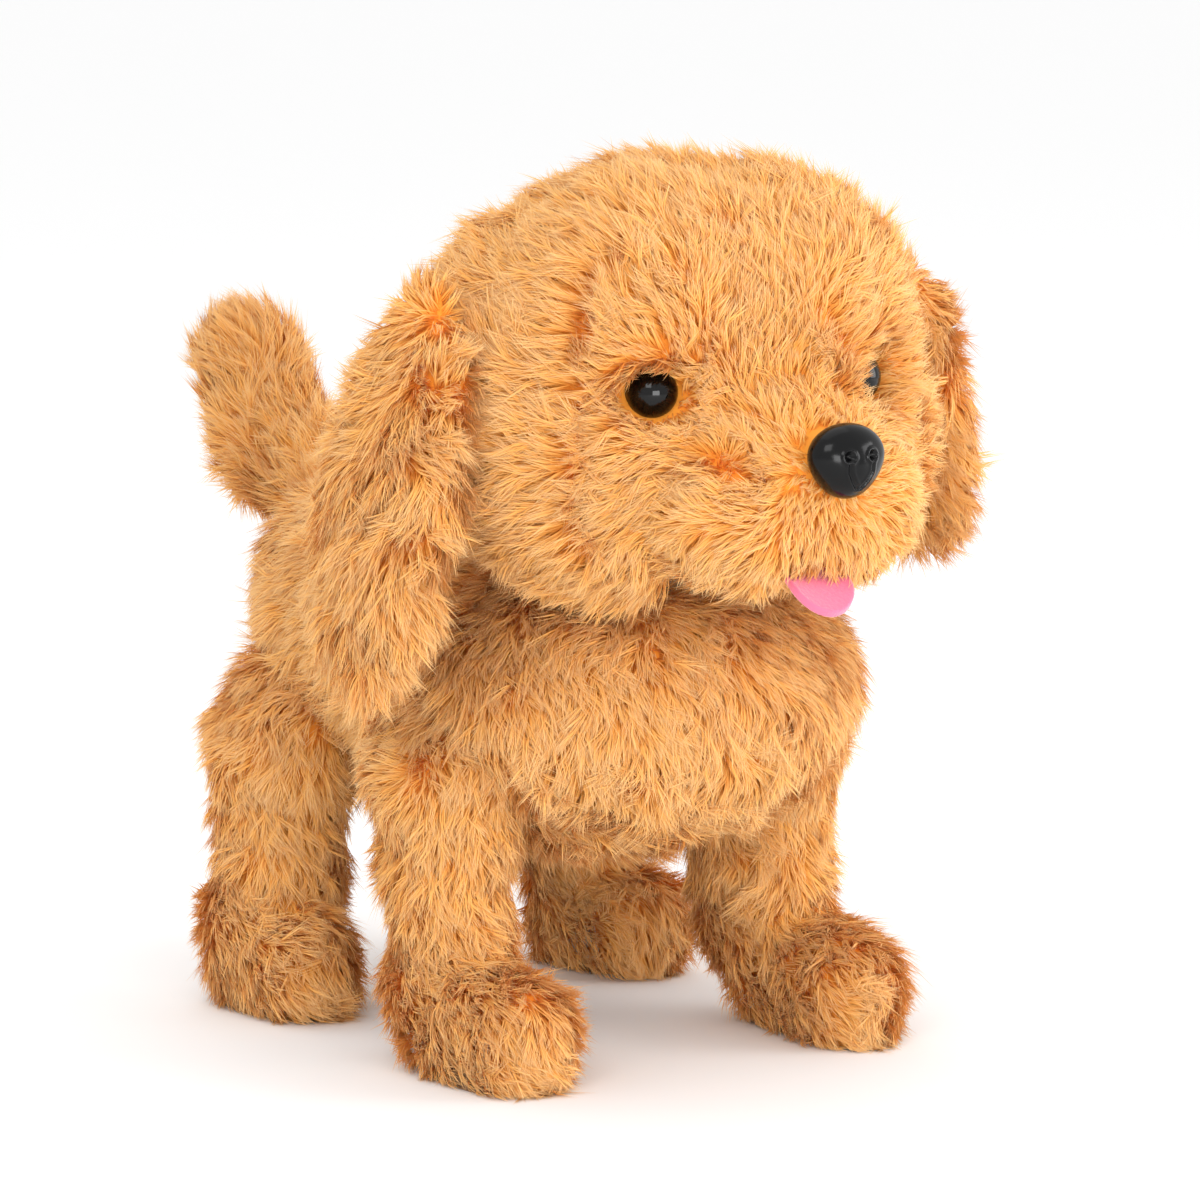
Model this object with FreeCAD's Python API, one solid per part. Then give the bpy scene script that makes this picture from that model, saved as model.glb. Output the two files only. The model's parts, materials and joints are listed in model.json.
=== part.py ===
import FreeCAD, Part
import math
import os
from FreeCAD import Vector

# A walking plush puppy, in millimetres and degrees.
# It stands on z = 0 and faces -y; its left side is +x.

# ---- Driving dimensions -------------------------------------------------
GAP = 0.3                      # plush beside the hard part that it covers

# Legs: the front pair and the rear pair, each given for the left side
HIP_Z = 60.0
LEG_X = 41.0                   # middle of a leg, from the centre plane
HIP_Y = {"front": -36.0, "rear": 38.0}
ANKLE_Y = {"front": -41.5, "rear": 38.5}
PAW_Y = {"front": -55.5, "rear": 30.0}
PAW_LENGTH = {"front": 23.5, "rear": 20.5}     # half lengths
PAW_R = {"front": 16.5, "rear": 15.5}
ANKLE_Z = 22.0
PAW_Z = 12.0
PLUSH_BOTTOM = 1.0             # the soles stand this far proud of the plush
THIGH_HALF_WIDTH = 17.0
THIGH_R = 24.0
THIGH_ROUND = 13.0
KNEE_R = 16.2
ANKLE_R = 14.2
LEG_SWING = 12.0
SOLE_THICK = 3.4

# Head
HEAD_Y = -56.0
HEAD_Z = 141.0
HEAD_HALF_WIDTH = 53.0
HEAD_R = 46.0
HEAD_ROUND = 36.0
SKULL_HALF_WIDTH = 36.0
SKULL_R = 31.0
SKULL_ROUND = 22.0
SKULL_WALL = 1.8
EYE_X = 24.5
EYE_Y = -87.5
EYE_Z = 141.5
EYE_R = 5.2
NOSE_Y = -118.9
NOSE_Z = 130.0
NOSE_R = 7.2

# Tail
TAIL_AXIS_Y = 55.0
TAIL_WAG = 18.0
TAIL_PATH = [Vector(0, 73, 102.2), Vector(0, 97, 113), Vector(0, 109.9, 129.5)]
TAIL_R = [10.8, 14.0, 13.5]

# Housing
HOUSE_X = 22.0
HOUSE_FRONT = -51.0
HOUSE_STEP = -34.0             # the roof is lower in front of this, under the head
HOUSE_BACK = 50.0
HOUSE_FLOOR = 49.5
HEEL = 5.0                     # slope where the floor meets the back wall
HOUSE_ROOF = 96.0
HOUSE_LOW_ROOF = 90.0
WALL = 2.0
TOWER_X = 9.5                  # the tail shaft's tower behind the housing
TOWER_BACK = 60.5
TOWER_FLOOR = 66.0
TOWER_ROOF = 98.0
PILLARS = [(-46.4, 54.1), (34.9, 55.5), (46.0, 90.6), (17.0, 90.6), (-31.2, 91.4)]
PILLAR_R = 3.0

# Shafts and gears, as (y, z)
MODULE = 0.5
WHEEL_TEETH = 36
PINION_TEETH = 12
CRANK_TEETH = 36
AXLE_R = 1.5
PIN_R = 1.0
FIT = 0.06                     # radial play of a shaft in the hole that it turns in
CRANK = (HIP_Y["front"], 78.0)
GEAR_RISE = 11.5               # slope from the crankshaft up to the second gear
CRANK_THROW = 3.8
CRANK_PIN_R = 1.2
DISC_R = 6.5
CAM_R = 3.2
CAM_THROW = 1.6
OPEN = 0.4                     # each crank pin and cam stops this far short of its slot

# Linkage, across the body
DISC_IN = 22.3
DISC_OUT = 24.0
PLATE_IN = 26.5                # the leg frames' upper plates
PLATE_OUT = 29.5
LINK_IN = 23.0                 # the side links, between housing and plates
LINK_OUT = 25.6
LINK_Z = 66.7
CAM_ROD_IN = 4.0               # the nod rod, and mirrored the tail rod
CAM_ROD_OUT = 6.0
TAIL_LEVER = 5.0
NOD_LEVER = 12.0

# Batteries
CELL_R = 7.1
CELL_LENGTH = 49.5
CELL_X = 7.6
CELL_Z = 58.9
BAY_X = 15.4
BAY_Y = 29.5


# ---- Shape helpers -------------------------------------------------------
def box(x0, x1, y0, y1, z0, z1):
    return Part.makeBox(x1 - x0, y1 - y0, z1 - z0, Vector(x0, y0, z0))


def rod_x(x0, x1, y, z, r):
    return Part.makeCylinder(r, x1 - x0, Vector(x0, y, z), Vector(1, 0, 0))


def rod_y(y0, y1, x, z, r):
    return Part.makeCylinder(r, y1 - y0, Vector(x, y0, z), Vector(0, 1, 0))


def rod_z(z0, z1, x, y, r):
    return Part.makeCylinder(r, z1 - z0, Vector(x, y, z0), Vector(0, 0, 1))


def along(start, direction, near, far, r):
    """A cylinder along a direction, from one distance to another."""
    return Part.makeCylinder(r, far - near, start + direction * near, direction)


def fuse(shapes):
    whole = shapes[0]
    for shape in shapes[1:]:
        whole = whole.fuse(shape)
    return whole


def cut(shape, tools):
    for tool in tools:
        shape = shape.cut(tool)
    return shape


def mirrored(shape):
    return shape.mirror(Vector(0, 0, 0), Vector(1, 0, 0))


def turned(shape, centre, axis, degrees):
    copy = shape.copy()
    copy.rotate(centre, axis, degrees)
    return copy


def drum_x(centre, half_width, r, round_off):
    """A drum across x with rounded rims, so a turn about x leaves it as it is."""
    drum = rod_x(centre.x - half_width, centre.x + half_width, centre.y, centre.z, r)
    rims = [e for e in drum.Edges if isinstance(e.Curve, Part.Circle)]
    return drum.makeFillet(round_off, rims)


def ellipse_ring(centre, across, up):
    """An ellipse through the ends of its two half axes; the longer one comes first."""
    return Part.Wire([Part.Ellipse(centre + across, centre + up, centre).toShape()])


def tapered(start, end, r_start, r_end):
    """A round limb between two points, with ball ends."""
    way = end - start
    limb = Part.makeCylinder(r_start, way.Length, start, way)
    if abs(r_start - r_end) > 0.01:
        limb = Part.makeCone(r_start, r_end, way.Length, start, way)
    return fuse([limb, Part.makeSphere(r_start, start), Part.makeSphere(r_end, end)])


def prism_x(outline, x0, x1):
    """A plate across x, from an outline of (y, z) corners."""
    corners = [Vector(x0, y, z) for y, z in outline]
    return Part.Face(Part.makePolygon(corners + corners[:1])).extrude(Vector(x1 - x0, 0, 0))


def lead(points, r, bend):
    """A round wire along straight runs that are joined by tangent arcs."""
    edges = []
    start = points[0]
    for before, corner, after in zip(points, points[1:], points[2:]):
        come = (corner - before).normalize()
        go = (after - corner).normalize()
        half_turn = come.getAngle(go) / 2
        back = bend * math.tan(half_turn)
        enter = corner - come * back
        leave = corner + go * back
        inward = (go - come).normalize()
        middle = corner + inward * bend * (1 / math.cos(half_turn) - 1)
        edges.append(Part.makeLine(start, enter))
        edges.append(Part.Arc(enter, middle, leave).toShape())
        start = leave
    edges.append(Part.makeLine(start, points[-1]))
    path = Part.Wire(edges)
    first = (points[1] - points[0]).normalize()
    section = Part.Wire([Part.makeCircle(r, points[0], first)])
    return path.makePipeShell([section], True, False)


# ---- Gears ----------------------------------------------------------------
PRESSURE_ANGLE = math.radians(20)
ADDENDUM = 0.75
DEDENDUM = 1.1
BACKLASH = 0.12


def gear_outline(teeth):
    """Corner points of a spur gear with one tooth pointing along +y."""
    pitch = MODULE * teeth / 2
    base = pitch * math.cos(PRESSURE_ANGLE)
    tip = pitch + ADDENDUM * MODULE
    root = pitch - DEDENDUM * MODULE

    def involute(r):
        a = math.acos(min(1.0, base / r))
        return math.tan(a) - a

    half_tooth = math.pi / (2 * teeth) - BACKLASH / (2 * pitch)
    at_pitch = half_tooth + involute(pitch)
    lowest = max(base, root)
    flank = [lowest + (tip - lowest) * i / 3 for i in range(4)]
    points = []
    for tooth in range(teeth):
        middle = 2 * math.pi * tooth / teeth
        side = [(r, at_pitch - involute(r)) for r in flank]
        rise = [(root, side[0][1])] if root < lowest - 0.01 else []
        left = [(r, middle - a) for r, a in rise + side]
        right = [(r, middle + a) for r, a in reversed(rise + side)]
        points += left + right
    return [(r * math.cos(a), r * math.sin(a)) for r, a in points]


def gear(teeth, centre, x0, x1, pointing, tooth=True):
    """A gear across x; a tooth, or a gap, points at the angle given."""
    turn = pointing + (0 if tooth else 180.0 / teeth)
    shape = prism_x(gear_outline(teeth), x0, x1)
    shape = turned(shape, Vector(0, 0, 0), Vector(1, 0, 0), turn)
    shape.translate(Vector(0, centre[0], centre[1]))
    return shape


def beyond(centre, distance, degrees):
    a = math.radians(degrees)
    return (centre[0] + distance * math.cos(a), centre[1] + distance * math.sin(a))


CRANK_MESH = MODULE * (CRANK_TEETH + PINION_TEETH) / 2
WHEEL_MESH = MODULE * (WHEEL_TEETH + PINION_TEETH) / 2
SECOND = beyond(CRANK, CRANK_MESH, GEAR_RISE)
FIRST = beyond(SECOND, WHEEL_MESH, 0)
MOTOR = beyond(FIRST, WHEEL_MESH, 0)


def motor_pinion():
    """The motor's pinion, moulded on its shaft."""
    return fuse([gear(PINION_TEETH, MOTOR, 8.4, 11.6, 180), rod_x(6.5, 12.4, *MOTOR, PIN_R)])


def first_gear():
    wheel = gear(WHEEL_TEETH, FIRST, 8.6, 11.4, 0, tooth=False)
    pinion = gear(PINION_TEETH, FIRST, 11.4, 14.9, 180)
    return cut(fuse([wheel, pinion]), [rod_x(8, 16, *FIRST, PIN_R + FIT)])


def second_gear():
    wheel = gear(WHEEL_TEETH, SECOND, 12.0, 14.6, 0, tooth=False)
    pinion = gear(PINION_TEETH, SECOND, 14.6, 18.6, 180 + GEAR_RISE)
    return cut(fuse([wheel, pinion]), [rod_x(11, 20, *SECOND, PIN_R + FIT)])


def crank_gear():
    wheel = gear(CRANK_TEETH, CRANK, 15.4, 18.4, GEAR_RISE, tooth=False)
    hub = rod_x(18.4, 19.6, *CRANK, 3.2)
    return cut(fuse([wheel, hub]), [rod_x(15, 20, *CRANK, AXLE_R + 0.02)])


def gear_pins():
    return Part.makeCompound([rod_x(6.4, HOUSE_X - 0.2, *pin, PIN_R) for pin in (FIRST, SECOND)])


def gear_plate():
    """The plate that holds the motor's nose and the inner ends of the gear pins."""
    plate = prism_x([(-31, 70), (11, 70), (11, 91), (-20, 91), (-31, 86)], 6.2, 7.8)
    holes = [rod_x(6, 8, *MOTOR, 3.2)]
    holes += [rod_x(6, 8, *pin, PIN_R + 0.02) for pin in (FIRST, SECOND)]
    return cut(plate, holes)


def crank_disc(throw):
    """The left end of the crankshaft, with its crank pin above the shaft or below it."""
    disc = rod_x(DISC_IN, DISC_OUT, *CRANK, DISC_R)
    pin = rod_x(DISC_OUT, PLATE_IN - OPEN, CRANK[0], CRANK[1] + throw, CRANK_PIN_R)
    return cut(fuse([disc, pin]), [rod_x(22, DISC_OUT - 0.4, *CRANK, AXLE_R + 0.02)])


def crank_discs():
    """Both ends of the crankshaft: the left pin stands up and the right pin down."""
    return Part.makeCompound([crank_disc(CRANK_THROW), mirrored(crank_disc(-CRANK_THROW))])


def crankshaft():
    end = DISC_OUT - 0.45
    return rod_x(-end, end, *CRANK, AXLE_R)


def cam(x_far, x_near, shift_y, shift_z):
    disc = rod_x(x_far, x_near, CRANK[0] + shift_y, CRANK[1] + shift_z, CAM_R)
    return cut(disc, [rod_x(-7, 7, *CRANK, AXLE_R + 0.02)])


def shaft_cams():
    """The nod cam on the left, which leans back, and the tail cam on the right, which leans up."""
    nod = cam(1.8, CAM_ROD_IN - OPEN, CAM_THROW, 0)
    tail = cam(OPEN - CAM_ROD_IN, -1.8, 0, CAM_THROW)
    return Part.makeCompound([nod, tail])


# ---- Housing ----------------------------------------------------------------
def housing_form(shrink):
    """The housing's outer form, or smaller all round by shrink."""
    s = shrink
    outline = [(HOUSE_FRONT + s, HOUSE_FLOOR + s), (HOUSE_BACK - HEEL, HOUSE_FLOOR + s),
               (HOUSE_BACK - s, HOUSE_FLOOR + HEEL), (HOUSE_BACK - s, HOUSE_ROOF - s), (HOUSE_STEP + s, HOUSE_ROOF - s),
               (HOUSE_STEP + s, HOUSE_LOW_ROOF - s), (HOUSE_FRONT + s, HOUSE_LOW_ROOF - s)]
    main_part = prism_x(outline, s - HOUSE_X, HOUSE_X - s)
    tower = box(-TOWER_X + s, TOWER_X - s, HOUSE_BACK - 5 + s, TOWER_BACK - s,
                TOWER_FLOOR + s, TOWER_ROOF - s)
    if s <= 0:
        corners = [e for e in main_part.Edges if abs(e.tangentAt(e.FirstParameter).x) > 0.9
                   and e.BoundBox.YMax < HOUSE_STEP - 5]
        main_part = main_part.makeFillet(1.8, corners)
    return main_part.fuse(tower)


def housing():
    shell = housing_form(0).cut(housing_form(WALL))
    pillars = [rod_x(-HOUSE_X + 1, HOUSE_X - 1, y, z, PILLAR_R) for y, z in PILLARS]
    shell = fuse([shell] + pillars)
    holes = [box(-BAY_X - 1.8, BAY_X + 1.8, -BAY_Y - 2.2, BAY_Y + 2.2, 48, 52)]
    holes += [rod_x(-30, 30, HIP_Y[end], HIP_Z, AXLE_R + 0.03) for end in HIP_Y]
    holes += [rod_x(-30, 30, *CRANK, AXLE_R + FIT)]
    holes += [rod_x(15, 30, *pin, PIN_R + 0.02) for pin in (FIRST, SECOND)]
    holes += [rod_z(60, 100, 0, TAIL_AXIS_Y, AXLE_R + FIT)]
    # slots for the nod rod in the low roof and for the switch knob in the floor
    holes += [box(3.6, 6.4, -46.4, -41.6, 86, 92)]
    holes += [box(-3.8, 3.8, SWITCH_Y - 1.8, SWITCH_Y + 1.8, 48, 52)]
    # the tail rod's way into the tower
    holes += [box(-7.4, -2.2, 47, 51, TOWER_FLOOR + WALL, 74)]
    # sound holes over the speaker
    for ring_r, count in ((0.0, 1), (4.0, 6), (8.0, 12)):
        for i in range(count):
            a = 2 * math.pi * i / count
            holes += [rod_z(92, 98, ring_r * math.cos(a), SPEAKER_Y + ring_r * math.sin(a), 1.0)]
    for y, z in PILLARS:
        holes += [rod_x(-20.4, 9, y, z, 1.2), rod_x(-23, -20.4, y, z, 2.5)]
    # screw holes for the neck post
    holes += [rod_y(-52, -48, 0, z, 1.2) for z in POST_SCREW_Z]
    return cut(shell, holes)


def housing_screws():
    """The five screws that join the halves, and the two that hold the neck post."""
    screws = []
    for y, z in PILLARS:
        head = rod_x(-22.0, -20.4, y, z, 2.3)
        cross = fuse([box(-22.5, -21.2, y - 1.5, y + 1.5, z - 0.25, z + 0.25),
                      box(-22.5, -21.2, y - 0.25, y + 0.25, z - 1.5, z + 1.5)])
        screws.append(fuse([head, rod_x(-20.4, 8, y, z, 1.15)]).cut(cross))
    for z in POST_SCREW_Z:
        head = rod_y(POST_FRONT + 1.4, POST_FRONT + 3, 0, z, 2.3)
        screws.append(fuse([head, rod_y(POST_FRONT + 3, -48.6, 0, z, 1.15)]))
    return Part.makeCompound(screws)


# ---- Battery bay, door and switch ---------------------------------------------
DOOR_TOP = 49.3
DOOR_BOTTOM = 47.5
DOOR_FRONT = -33.5
DOOR_BACK = 32.5
DOOR_X = 16.6
SWITCH_Y = 41.5


def battery_box():
    outer = box(-BAY_X - 1.6, BAY_X + 1.6, -BAY_Y - 2, BAY_Y + 2, HOUSE_FLOOR + 0.1, 67.4)
    bay = box(-BAY_X, BAY_X, -BAY_Y, BAY_Y, HOUSE_FLOOR - 1, 66.2)
    rib = box(-0.35, 0.35, -BAY_Y - 1, BAY_Y + 1, 60, 67)
    screw_hole = rod_z(HOUSE_FLOOR, 56, 0, BAY_Y + 0.4, 1.2)
    screw_post = rod_z(HOUSE_FLOOR + 0.1, 53.4, 0, BAY_Y - 0.6, 2.6)
    return cut(fuse([outer.cut(bay), rib, screw_post]), [screw_hole])


CELL_START = -22.3             # flat end of the left cell
CELL_END = CELL_START + CELL_LENGTH


def batteries():
    """Two AA cells along y, which lie opposite ways round."""
    can = rod_y(CELL_START, CELL_END, CELL_X, CELL_Z, CELL_R)
    nub = rod_y(CELL_END, CELL_END + 1, CELL_X, CELL_Z, 2.7)
    cell = fuse([can, nub])
    middle = Vector(0, 0, 0)
    return Part.makeCompound([cell, turned(cell, middle, Vector(0, 0, 1), 180)])


def contact_spring(x, y_plate, y_cell):
    """A conical coil spring that presses on a cell's flat end."""
    length = abs(y_cell - y_plate) - 0.8
    coil = Part.makeHelix(length / 3.2, length, 4.6, -14)
    section = Part.Wire([Part.makeCircle(0.35, Vector(4.6, 0, 0), Vector(0, 1, 0))])
    spring = Part.Wire(coil).makePipeShell([section], True, True)
    way = -90 if y_cell > y_plate else 90
    spring.rotate(Vector(0, 0, 0), Vector(1, 0, 0), way)
    start = y_plate + (0.4 if y_cell > y_plate else -0.4)
    spring.translate(Vector(x, start, CELL_Z))
    return spring


def battery_contacts():
    """A spring at each cell's flat end, and the plates behind springs and nubs."""
    springs = [contact_spring(CELL_X, -BAY_Y + 0.6, CELL_START),
               contact_spring(-CELL_X, BAY_Y - 0.6, -CELL_START)]
    plates = []
    for x in (-CELL_X, CELL_X):
        for y in (-BAY_Y + 0.05, BAY_Y - 0.45):
            plates.append(box(x - 5.5, x + 5.5, y, y + 0.4, 53.6, 65))
    # one strap joins the two cells at the front
    strap = box(-CELL_X, CELL_X, -BAY_Y + 0.05, -BAY_Y + 0.45, 53.6, 56)
    front = fuse([plates[0], plates[2], strap])
    return Part.makeCompound(springs + [front, plates[1], plates[3]])


def battery_door():
    plate = box(-DOOR_X, DOOR_X, DOOR_FRONT, DOOR_BACK, DOOR_BOTTOM, DOOR_TOP)
    upright = [e for e in plate.Edges if abs(e.tangentAt(e.FirstParameter).z) > 0.9]
    plate = plate.makeFillet(3.0, upright)
    grip = [box(-9, 9, y, y + 0.8, DOOR_BOTTOM - 0.5, DOOR_BOTTOM + 0.5) for y in (8, 11, 14, 17)]
    hole = rod_z(47, 50, 0, BAY_Y + 0.4, 1.5)
    sink = rod_z(47, 48.5, 0, BAY_Y + 0.4, 2.6)
    return cut(fuse([plate] + grip), [hole, sink])


def door_screw():
    y = BAY_Y + 0.4
    head = rod_z(DOOR_BOTTOM, 48.5, 0, y, 2.4)
    slot = fuse([box(-1.7, 1.7, y - 0.3, y + 0.3, 47, 48), box(-0.3, 0.3, y - 1.7, y + 1.7, 47, 48)])
    return fuse([head, rod_z(48.5, 53.2, 0, y, 1.15)]).cut(slot)


def switch_body():
    y = SWITCH_Y
    body = box(-6.5, 6.5, y - 3.3, y + 3.3, 51.6, 56.8)
    ears = box(-9.5, 9.5, y - 2, y + 2, 51.6, 52.6)
    pins = [box(x - 0.4, x + 0.4, y - 0.3, y + 0.3, 56.5, 58) for x in (-3, 0, 3)]
    travel = box(-3.8, 3.8, y - 1.8, y + 1.8, 51, 53.9)
    return cut(fuse([body, ears] + pins), [travel])


def switch_knob():
    """The sliding knob, at its off end; it slides 3 mm to the left for on."""
    y = SWITCH_Y
    stem = box(-3.4, -0.4, y - 1.5, y + 1.5, 48.5, 53.5)
    thumb = box(-4.2, 0.4, y - 2.5, y + 2.5, 46.9, 49.1)
    grooves = [box(x, x + 0.5, y - 3, y + 3, 46.5, 47.4) for x in (-3.6, -2.4, -1.2, 0.0)]
    return cut(fuse([stem, thumb]), grooves)


# ---- Motor and electronics ------------------------------------------------------
SPEAKER_Y = 31.5
SPEAKER_R = 11.3
BOARD_Z = 76.0
BOARD_TOP = 77.6
MOTOR_BACK = -17.5
MOTOR_NOSE = 6.0


def motor():
    y, z = MOTOR
    can = rod_x(MOTOR_BACK, MOTOR_NOSE, y, z, 10)
    can = can.common(box(MOTOR_BACK, MOTOR_NOSE, y - 10, y + 10, z - 7.5, z + 7.5))
    nose = rod_x(MOTOR_NOSE, MOTOR_NOSE + 1.6, y, z, 3)
    tabs = [box(MOTOR_BACK - 0.7, MOTOR_BACK, y + d - 1.2, y + d + 1.2, z - 0.3, z + 0.3) for d in (-4, 4)]
    return cut(fuse([can, nose] + tabs), [rod_x(6.3, 8, y, z, PIN_R + FIT)])


def circuit_board():
    """The board with its sound chip, motor driver, resonator and capacitor."""
    board = box(-17, 17, 20, 46, BOARD_Z, BOARD_TOP)
    holes = [rod_z(75, 79, x, 43.5, 1.1) for x in (-14.5, 14.5)]
    chip = box(-4, 4, 28, 36, BOARD_TOP, BOARD_TOP + 1.4)
    capacitor = rod_z(BOARD_TOP, BOARD_TOP + 7, 13, 23, 2.5)
    resonator = box(6, 11, 38, 41, BOARD_TOP, BOARD_TOP + 2.4)
    driver = box(-12, -8, 30, 35, BOARD_TOP, BOARD_TOP + 1.6)
    return fuse([cut(board, holes), chip, capacitor, resonator, driver])


def speaker_hollow(r_low, r_high, z0, z1):
    return Part.makeCone(r_low, r_high, z1 - z0, Vector(0, SPEAKER_Y, z0), Vector(0, 0, 1))


def speaker_frame():
    """The speaker's frame with its magnet."""
    ring = rod_z(89, 93.6, 0, SPEAKER_Y, SPEAKER_R)
    magnet = rod_z(84, 89, 0, SPEAKER_Y, 6.5)
    return fuse([ring.cut(speaker_hollow(4.9, SPEAKER_R - 0.7, 89.6, 93.6)), magnet])


def speaker_cone():
    rim = SPEAKER_R - 1.7
    shell = speaker_hollow(4.4, rim, 90.0, 93.3).cut(speaker_hollow(4.0, rim - 0.4, 90.2, 93.3))
    dome = rod_z(90.0, 90.7, 0, SPEAKER_Y, 4.2)
    return fuse([shell, dome])


def battery_leads():
    rise = 36.2
    leads = []
    for x in (-10.0, 10.0):
        leads.append(lead([Vector(x, 31.6, 63.5), Vector(x, rise, 63.5), Vector(x, rise, 75.9)], 0.6, 3.0))
    return leads


def motor_leads():
    y, z = MOTOR
    leads = []
    for i, d in enumerate((-4, 4)):
        x = MOTOR_BACK - 1.4
        up = z + 1.6 + 2.6 * (1 - i)
        down = 23 + 2 * (1 - i)
        leads.append(lead([Vector(x, y + d, z), Vector(x, y + d, up), Vector(x, down, up),
                           Vector(-15.6, down, up), Vector(-15.6, down, BOARD_TOP + 0.1)], 0.5, 0.75))
    return leads


def speaker_leads():
    leads = []
    for x in (-8.0, 8.0):
        leads.append(lead([Vector(x, 33, 88.9), Vector(x, 33, 85), Vector(x, 37, 85),
                           Vector(x, 37, 82), Vector(x, 43, 82), Vector(x, 43, BOARD_TOP + 0.1)], 0.5, 1.0))
    return leads


def wire_leads():
    return Part.makeCompound(battery_leads() + motor_leads() + speaker_leads())


# ---- Legs --------------------------------------------------------------------
def hip_axles():
    return Part.makeCompound([rod_x(-31.0, 31.0, y, HIP_Z, AXLE_R) for y in HIP_Y.values()])


def hip_clips():
    clips = []
    for end in HIP_Y:
        ring = rod_x(29.7, 30.4, HIP_Y[end], HIP_Z, 3.2)
        hole = rod_x(29, 31, HIP_Y[end], HIP_Z, AXLE_R + 0.02)
        mouth = box(29, 31, HIP_Y[end] - 1.0, HIP_Y[end] + 1.0, HIP_Z - 4, HIP_Z)
        clip = cut(ring, [hole, mouth])
        clips += [clip, mirrored(clip)]
    return Part.makeCompound(clips)


def leg_frame(end, grow=0.0):
    """The left leg's moulded frame: upper lever, shank and foot in one."""
    g = grow
    hip = HIP_Y[end]
    ankle = ANKLE_Y[end]
    paw = PAW_Y[end]
    top = CRANK[1] + 3.0
    lever = [rod_x(PLATE_IN - g, PLATE_OUT + g, hip, top, 5 + g),
             box(PLATE_IN - g, PLATE_OUT + g, hip - 5 - g, hip + 5 + g, 43, top)]
    jog = box(PLATE_IN - g, LEG_X + 4 + g, hip - 5 - g, hip + 5 + g, 42 - g, 48 + g)
    shank = prism_x([(hip - 5 - g, 46), (hip + 5 + g, 46), (ankle + 5 + g, 8), (ankle - 5 - g, 8)],
                    LEG_X - 4 - g, LEG_X + 4 + g)
    foot = box(LEG_X - 9 - g, LEG_X + 9 + g, paw - 11 - g, ankle + 5 + g, SOLE_THICK + 0.2, 11 + g)
    solid = fuse(lever + [jog, shank, foot])
    if g:
        return solid
    boss = rod_x(DISC_IN, PLATE_IN, hip, HIP_Z, 4)
    link_pin = rod_x(LINK_IN - 0.2, PLATE_IN, hip, LINK_Z, CRANK_PIN_R)
    solid = fuse([solid, boss, link_pin])
    holes = [rod_x(22, 31, hip, HIP_Z, AXLE_R + FIT)]
    if end == "front":
        reach = CRANK_THROW + 0.3
        width = CRANK_PIN_R + 0.1
        holes += [rod_x(26, 30, hip, CRANK[1] + d, width) for d in (-reach, reach)]
        holes += [box(26, 30, hip - width, hip + width, CRANK[1] - reach, CRANK[1] + reach)]
    else:
        holes += [rod_x(26, 30, hip, CRANK[1] + d, 2.2) for d in (-3.5, 3.5)]
    # three lightening pockets down the shank
    for share in (0.2, 0.45, 0.7):
        y = hip + (ankle - hip) * share
        z = 46 - 38 * share
        holes += [box(LEG_X + 1.5, LEG_X + 5, y - 3, y + 3, z - 4, z + 3)]
    return cut(solid, holes)


def leg_form(end, grow=0.0):
    """The left leg's plush outside: thigh, shank and paw."""
    g = grow
    hip = Vector(LEG_X - 1, HIP_Y[end], HIP_Z)
    ankle = Vector(LEG_X, ANKLE_Y[end], ANKLE_Z)
    thigh = drum_x(hip, THIGH_HALF_WIDTH + g, THIGH_R + g, THIGH_ROUND)
    shank = tapered(hip - Vector(0, 0, 6), ankle, KNEE_R + g, ANKLE_R + g)
    reach = Vector(0, PAW_LENGTH[end] - PAW_R[end], 0)
    middle = Vector(LEG_X + 1, PAW_Y[end], PAW_Z)
    paw = tapered(middle - reach, middle + reach, PAW_R[end] + g, PAW_R[end] + g)
    return fuse([thigh, shank, paw])


def leg_plush(end):
    form = leg_form(end)
    inner_side = box(0, PLATE_OUT + 1.0, HIP_Y[end] - 40, HIP_Y[end] + 40, 50, 100)
    under = box(0, 80, -120, 120, -20, PLUSH_BOTTOM)
    clip_room = rod_x(25, 31.6, HIP_Y[end], HIP_Z, 4.0)
    return cut(form, [inner_side, under, clip_room, leg_frame(end, GAP), sole(end, GAP)])


def sole(end, grow=0.0):
    """The rubber pad under a left paw."""
    r = 0.55 * PAW_R[end]
    reach = 0.62 * PAW_LENGTH[end] - r
    x = LEG_X + 1
    y = PAW_Y[end]
    top = SOLE_THICK if not grow else SOLE_THICK + 0.2
    middle = box(x - r - grow, x + r + grow, y - reach, y + reach, 0, top)
    return fuse([middle] + [rod_z(0, top, x, y + d, r + grow) for d in (-reach, reach)])


def side_link():
    """The left link that makes the rear leg follow the front leg."""
    ends = (HIP_Y["front"], HIP_Y["rear"])
    bar = box(LINK_IN, LINK_OUT, ends[0], ends[1], LINK_Z - 1.7, LINK_Z + 1.7)
    eyes = [rod_x(LINK_IN, LINK_OUT, y, LINK_Z, 2.1) for y in ends]
    holes = [rod_x(22, 27, y, LINK_Z, CRANK_PIN_R + FIT) for y in ends]
    return cut(fuse([bar] + eyes), holes)


# ---- Tail ----------------------------------------------------------------------
def tail_form(grow=0.0):
    limbs = []
    for i in range(2):
        limbs.append(tapered(TAIL_PATH[i], TAIL_PATH[i + 1], TAIL_R[i] + grow, TAIL_R[i + 1] + grow))
    return fuse(limbs)


def tail_arm(grow=0.0):
    hub_z = TOWER_ROOF + 0.4
    hub = rod_z(hub_z - grow, hub_z + 5 + grow, 0, TAIL_AXIS_Y, 4 + grow)
    path = [Vector(0, TAIL_AXIS_Y, hub_z + 2.5), TAIL_PATH[0], TAIL_PATH[1]]
    limbs = [tapered(a, b, 2.4 + grow, 2.4 + grow) for a, b in zip(path, path[1:])]
    arm = fuse([hub] + limbs)
    if grow:
        return arm
    return arm.cut(rod_z(hub_z - 1, hub_z + 4, 0, TAIL_AXIS_Y, AXLE_R + 0.02))


TAIL_ROD_Z = 70.0


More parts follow.
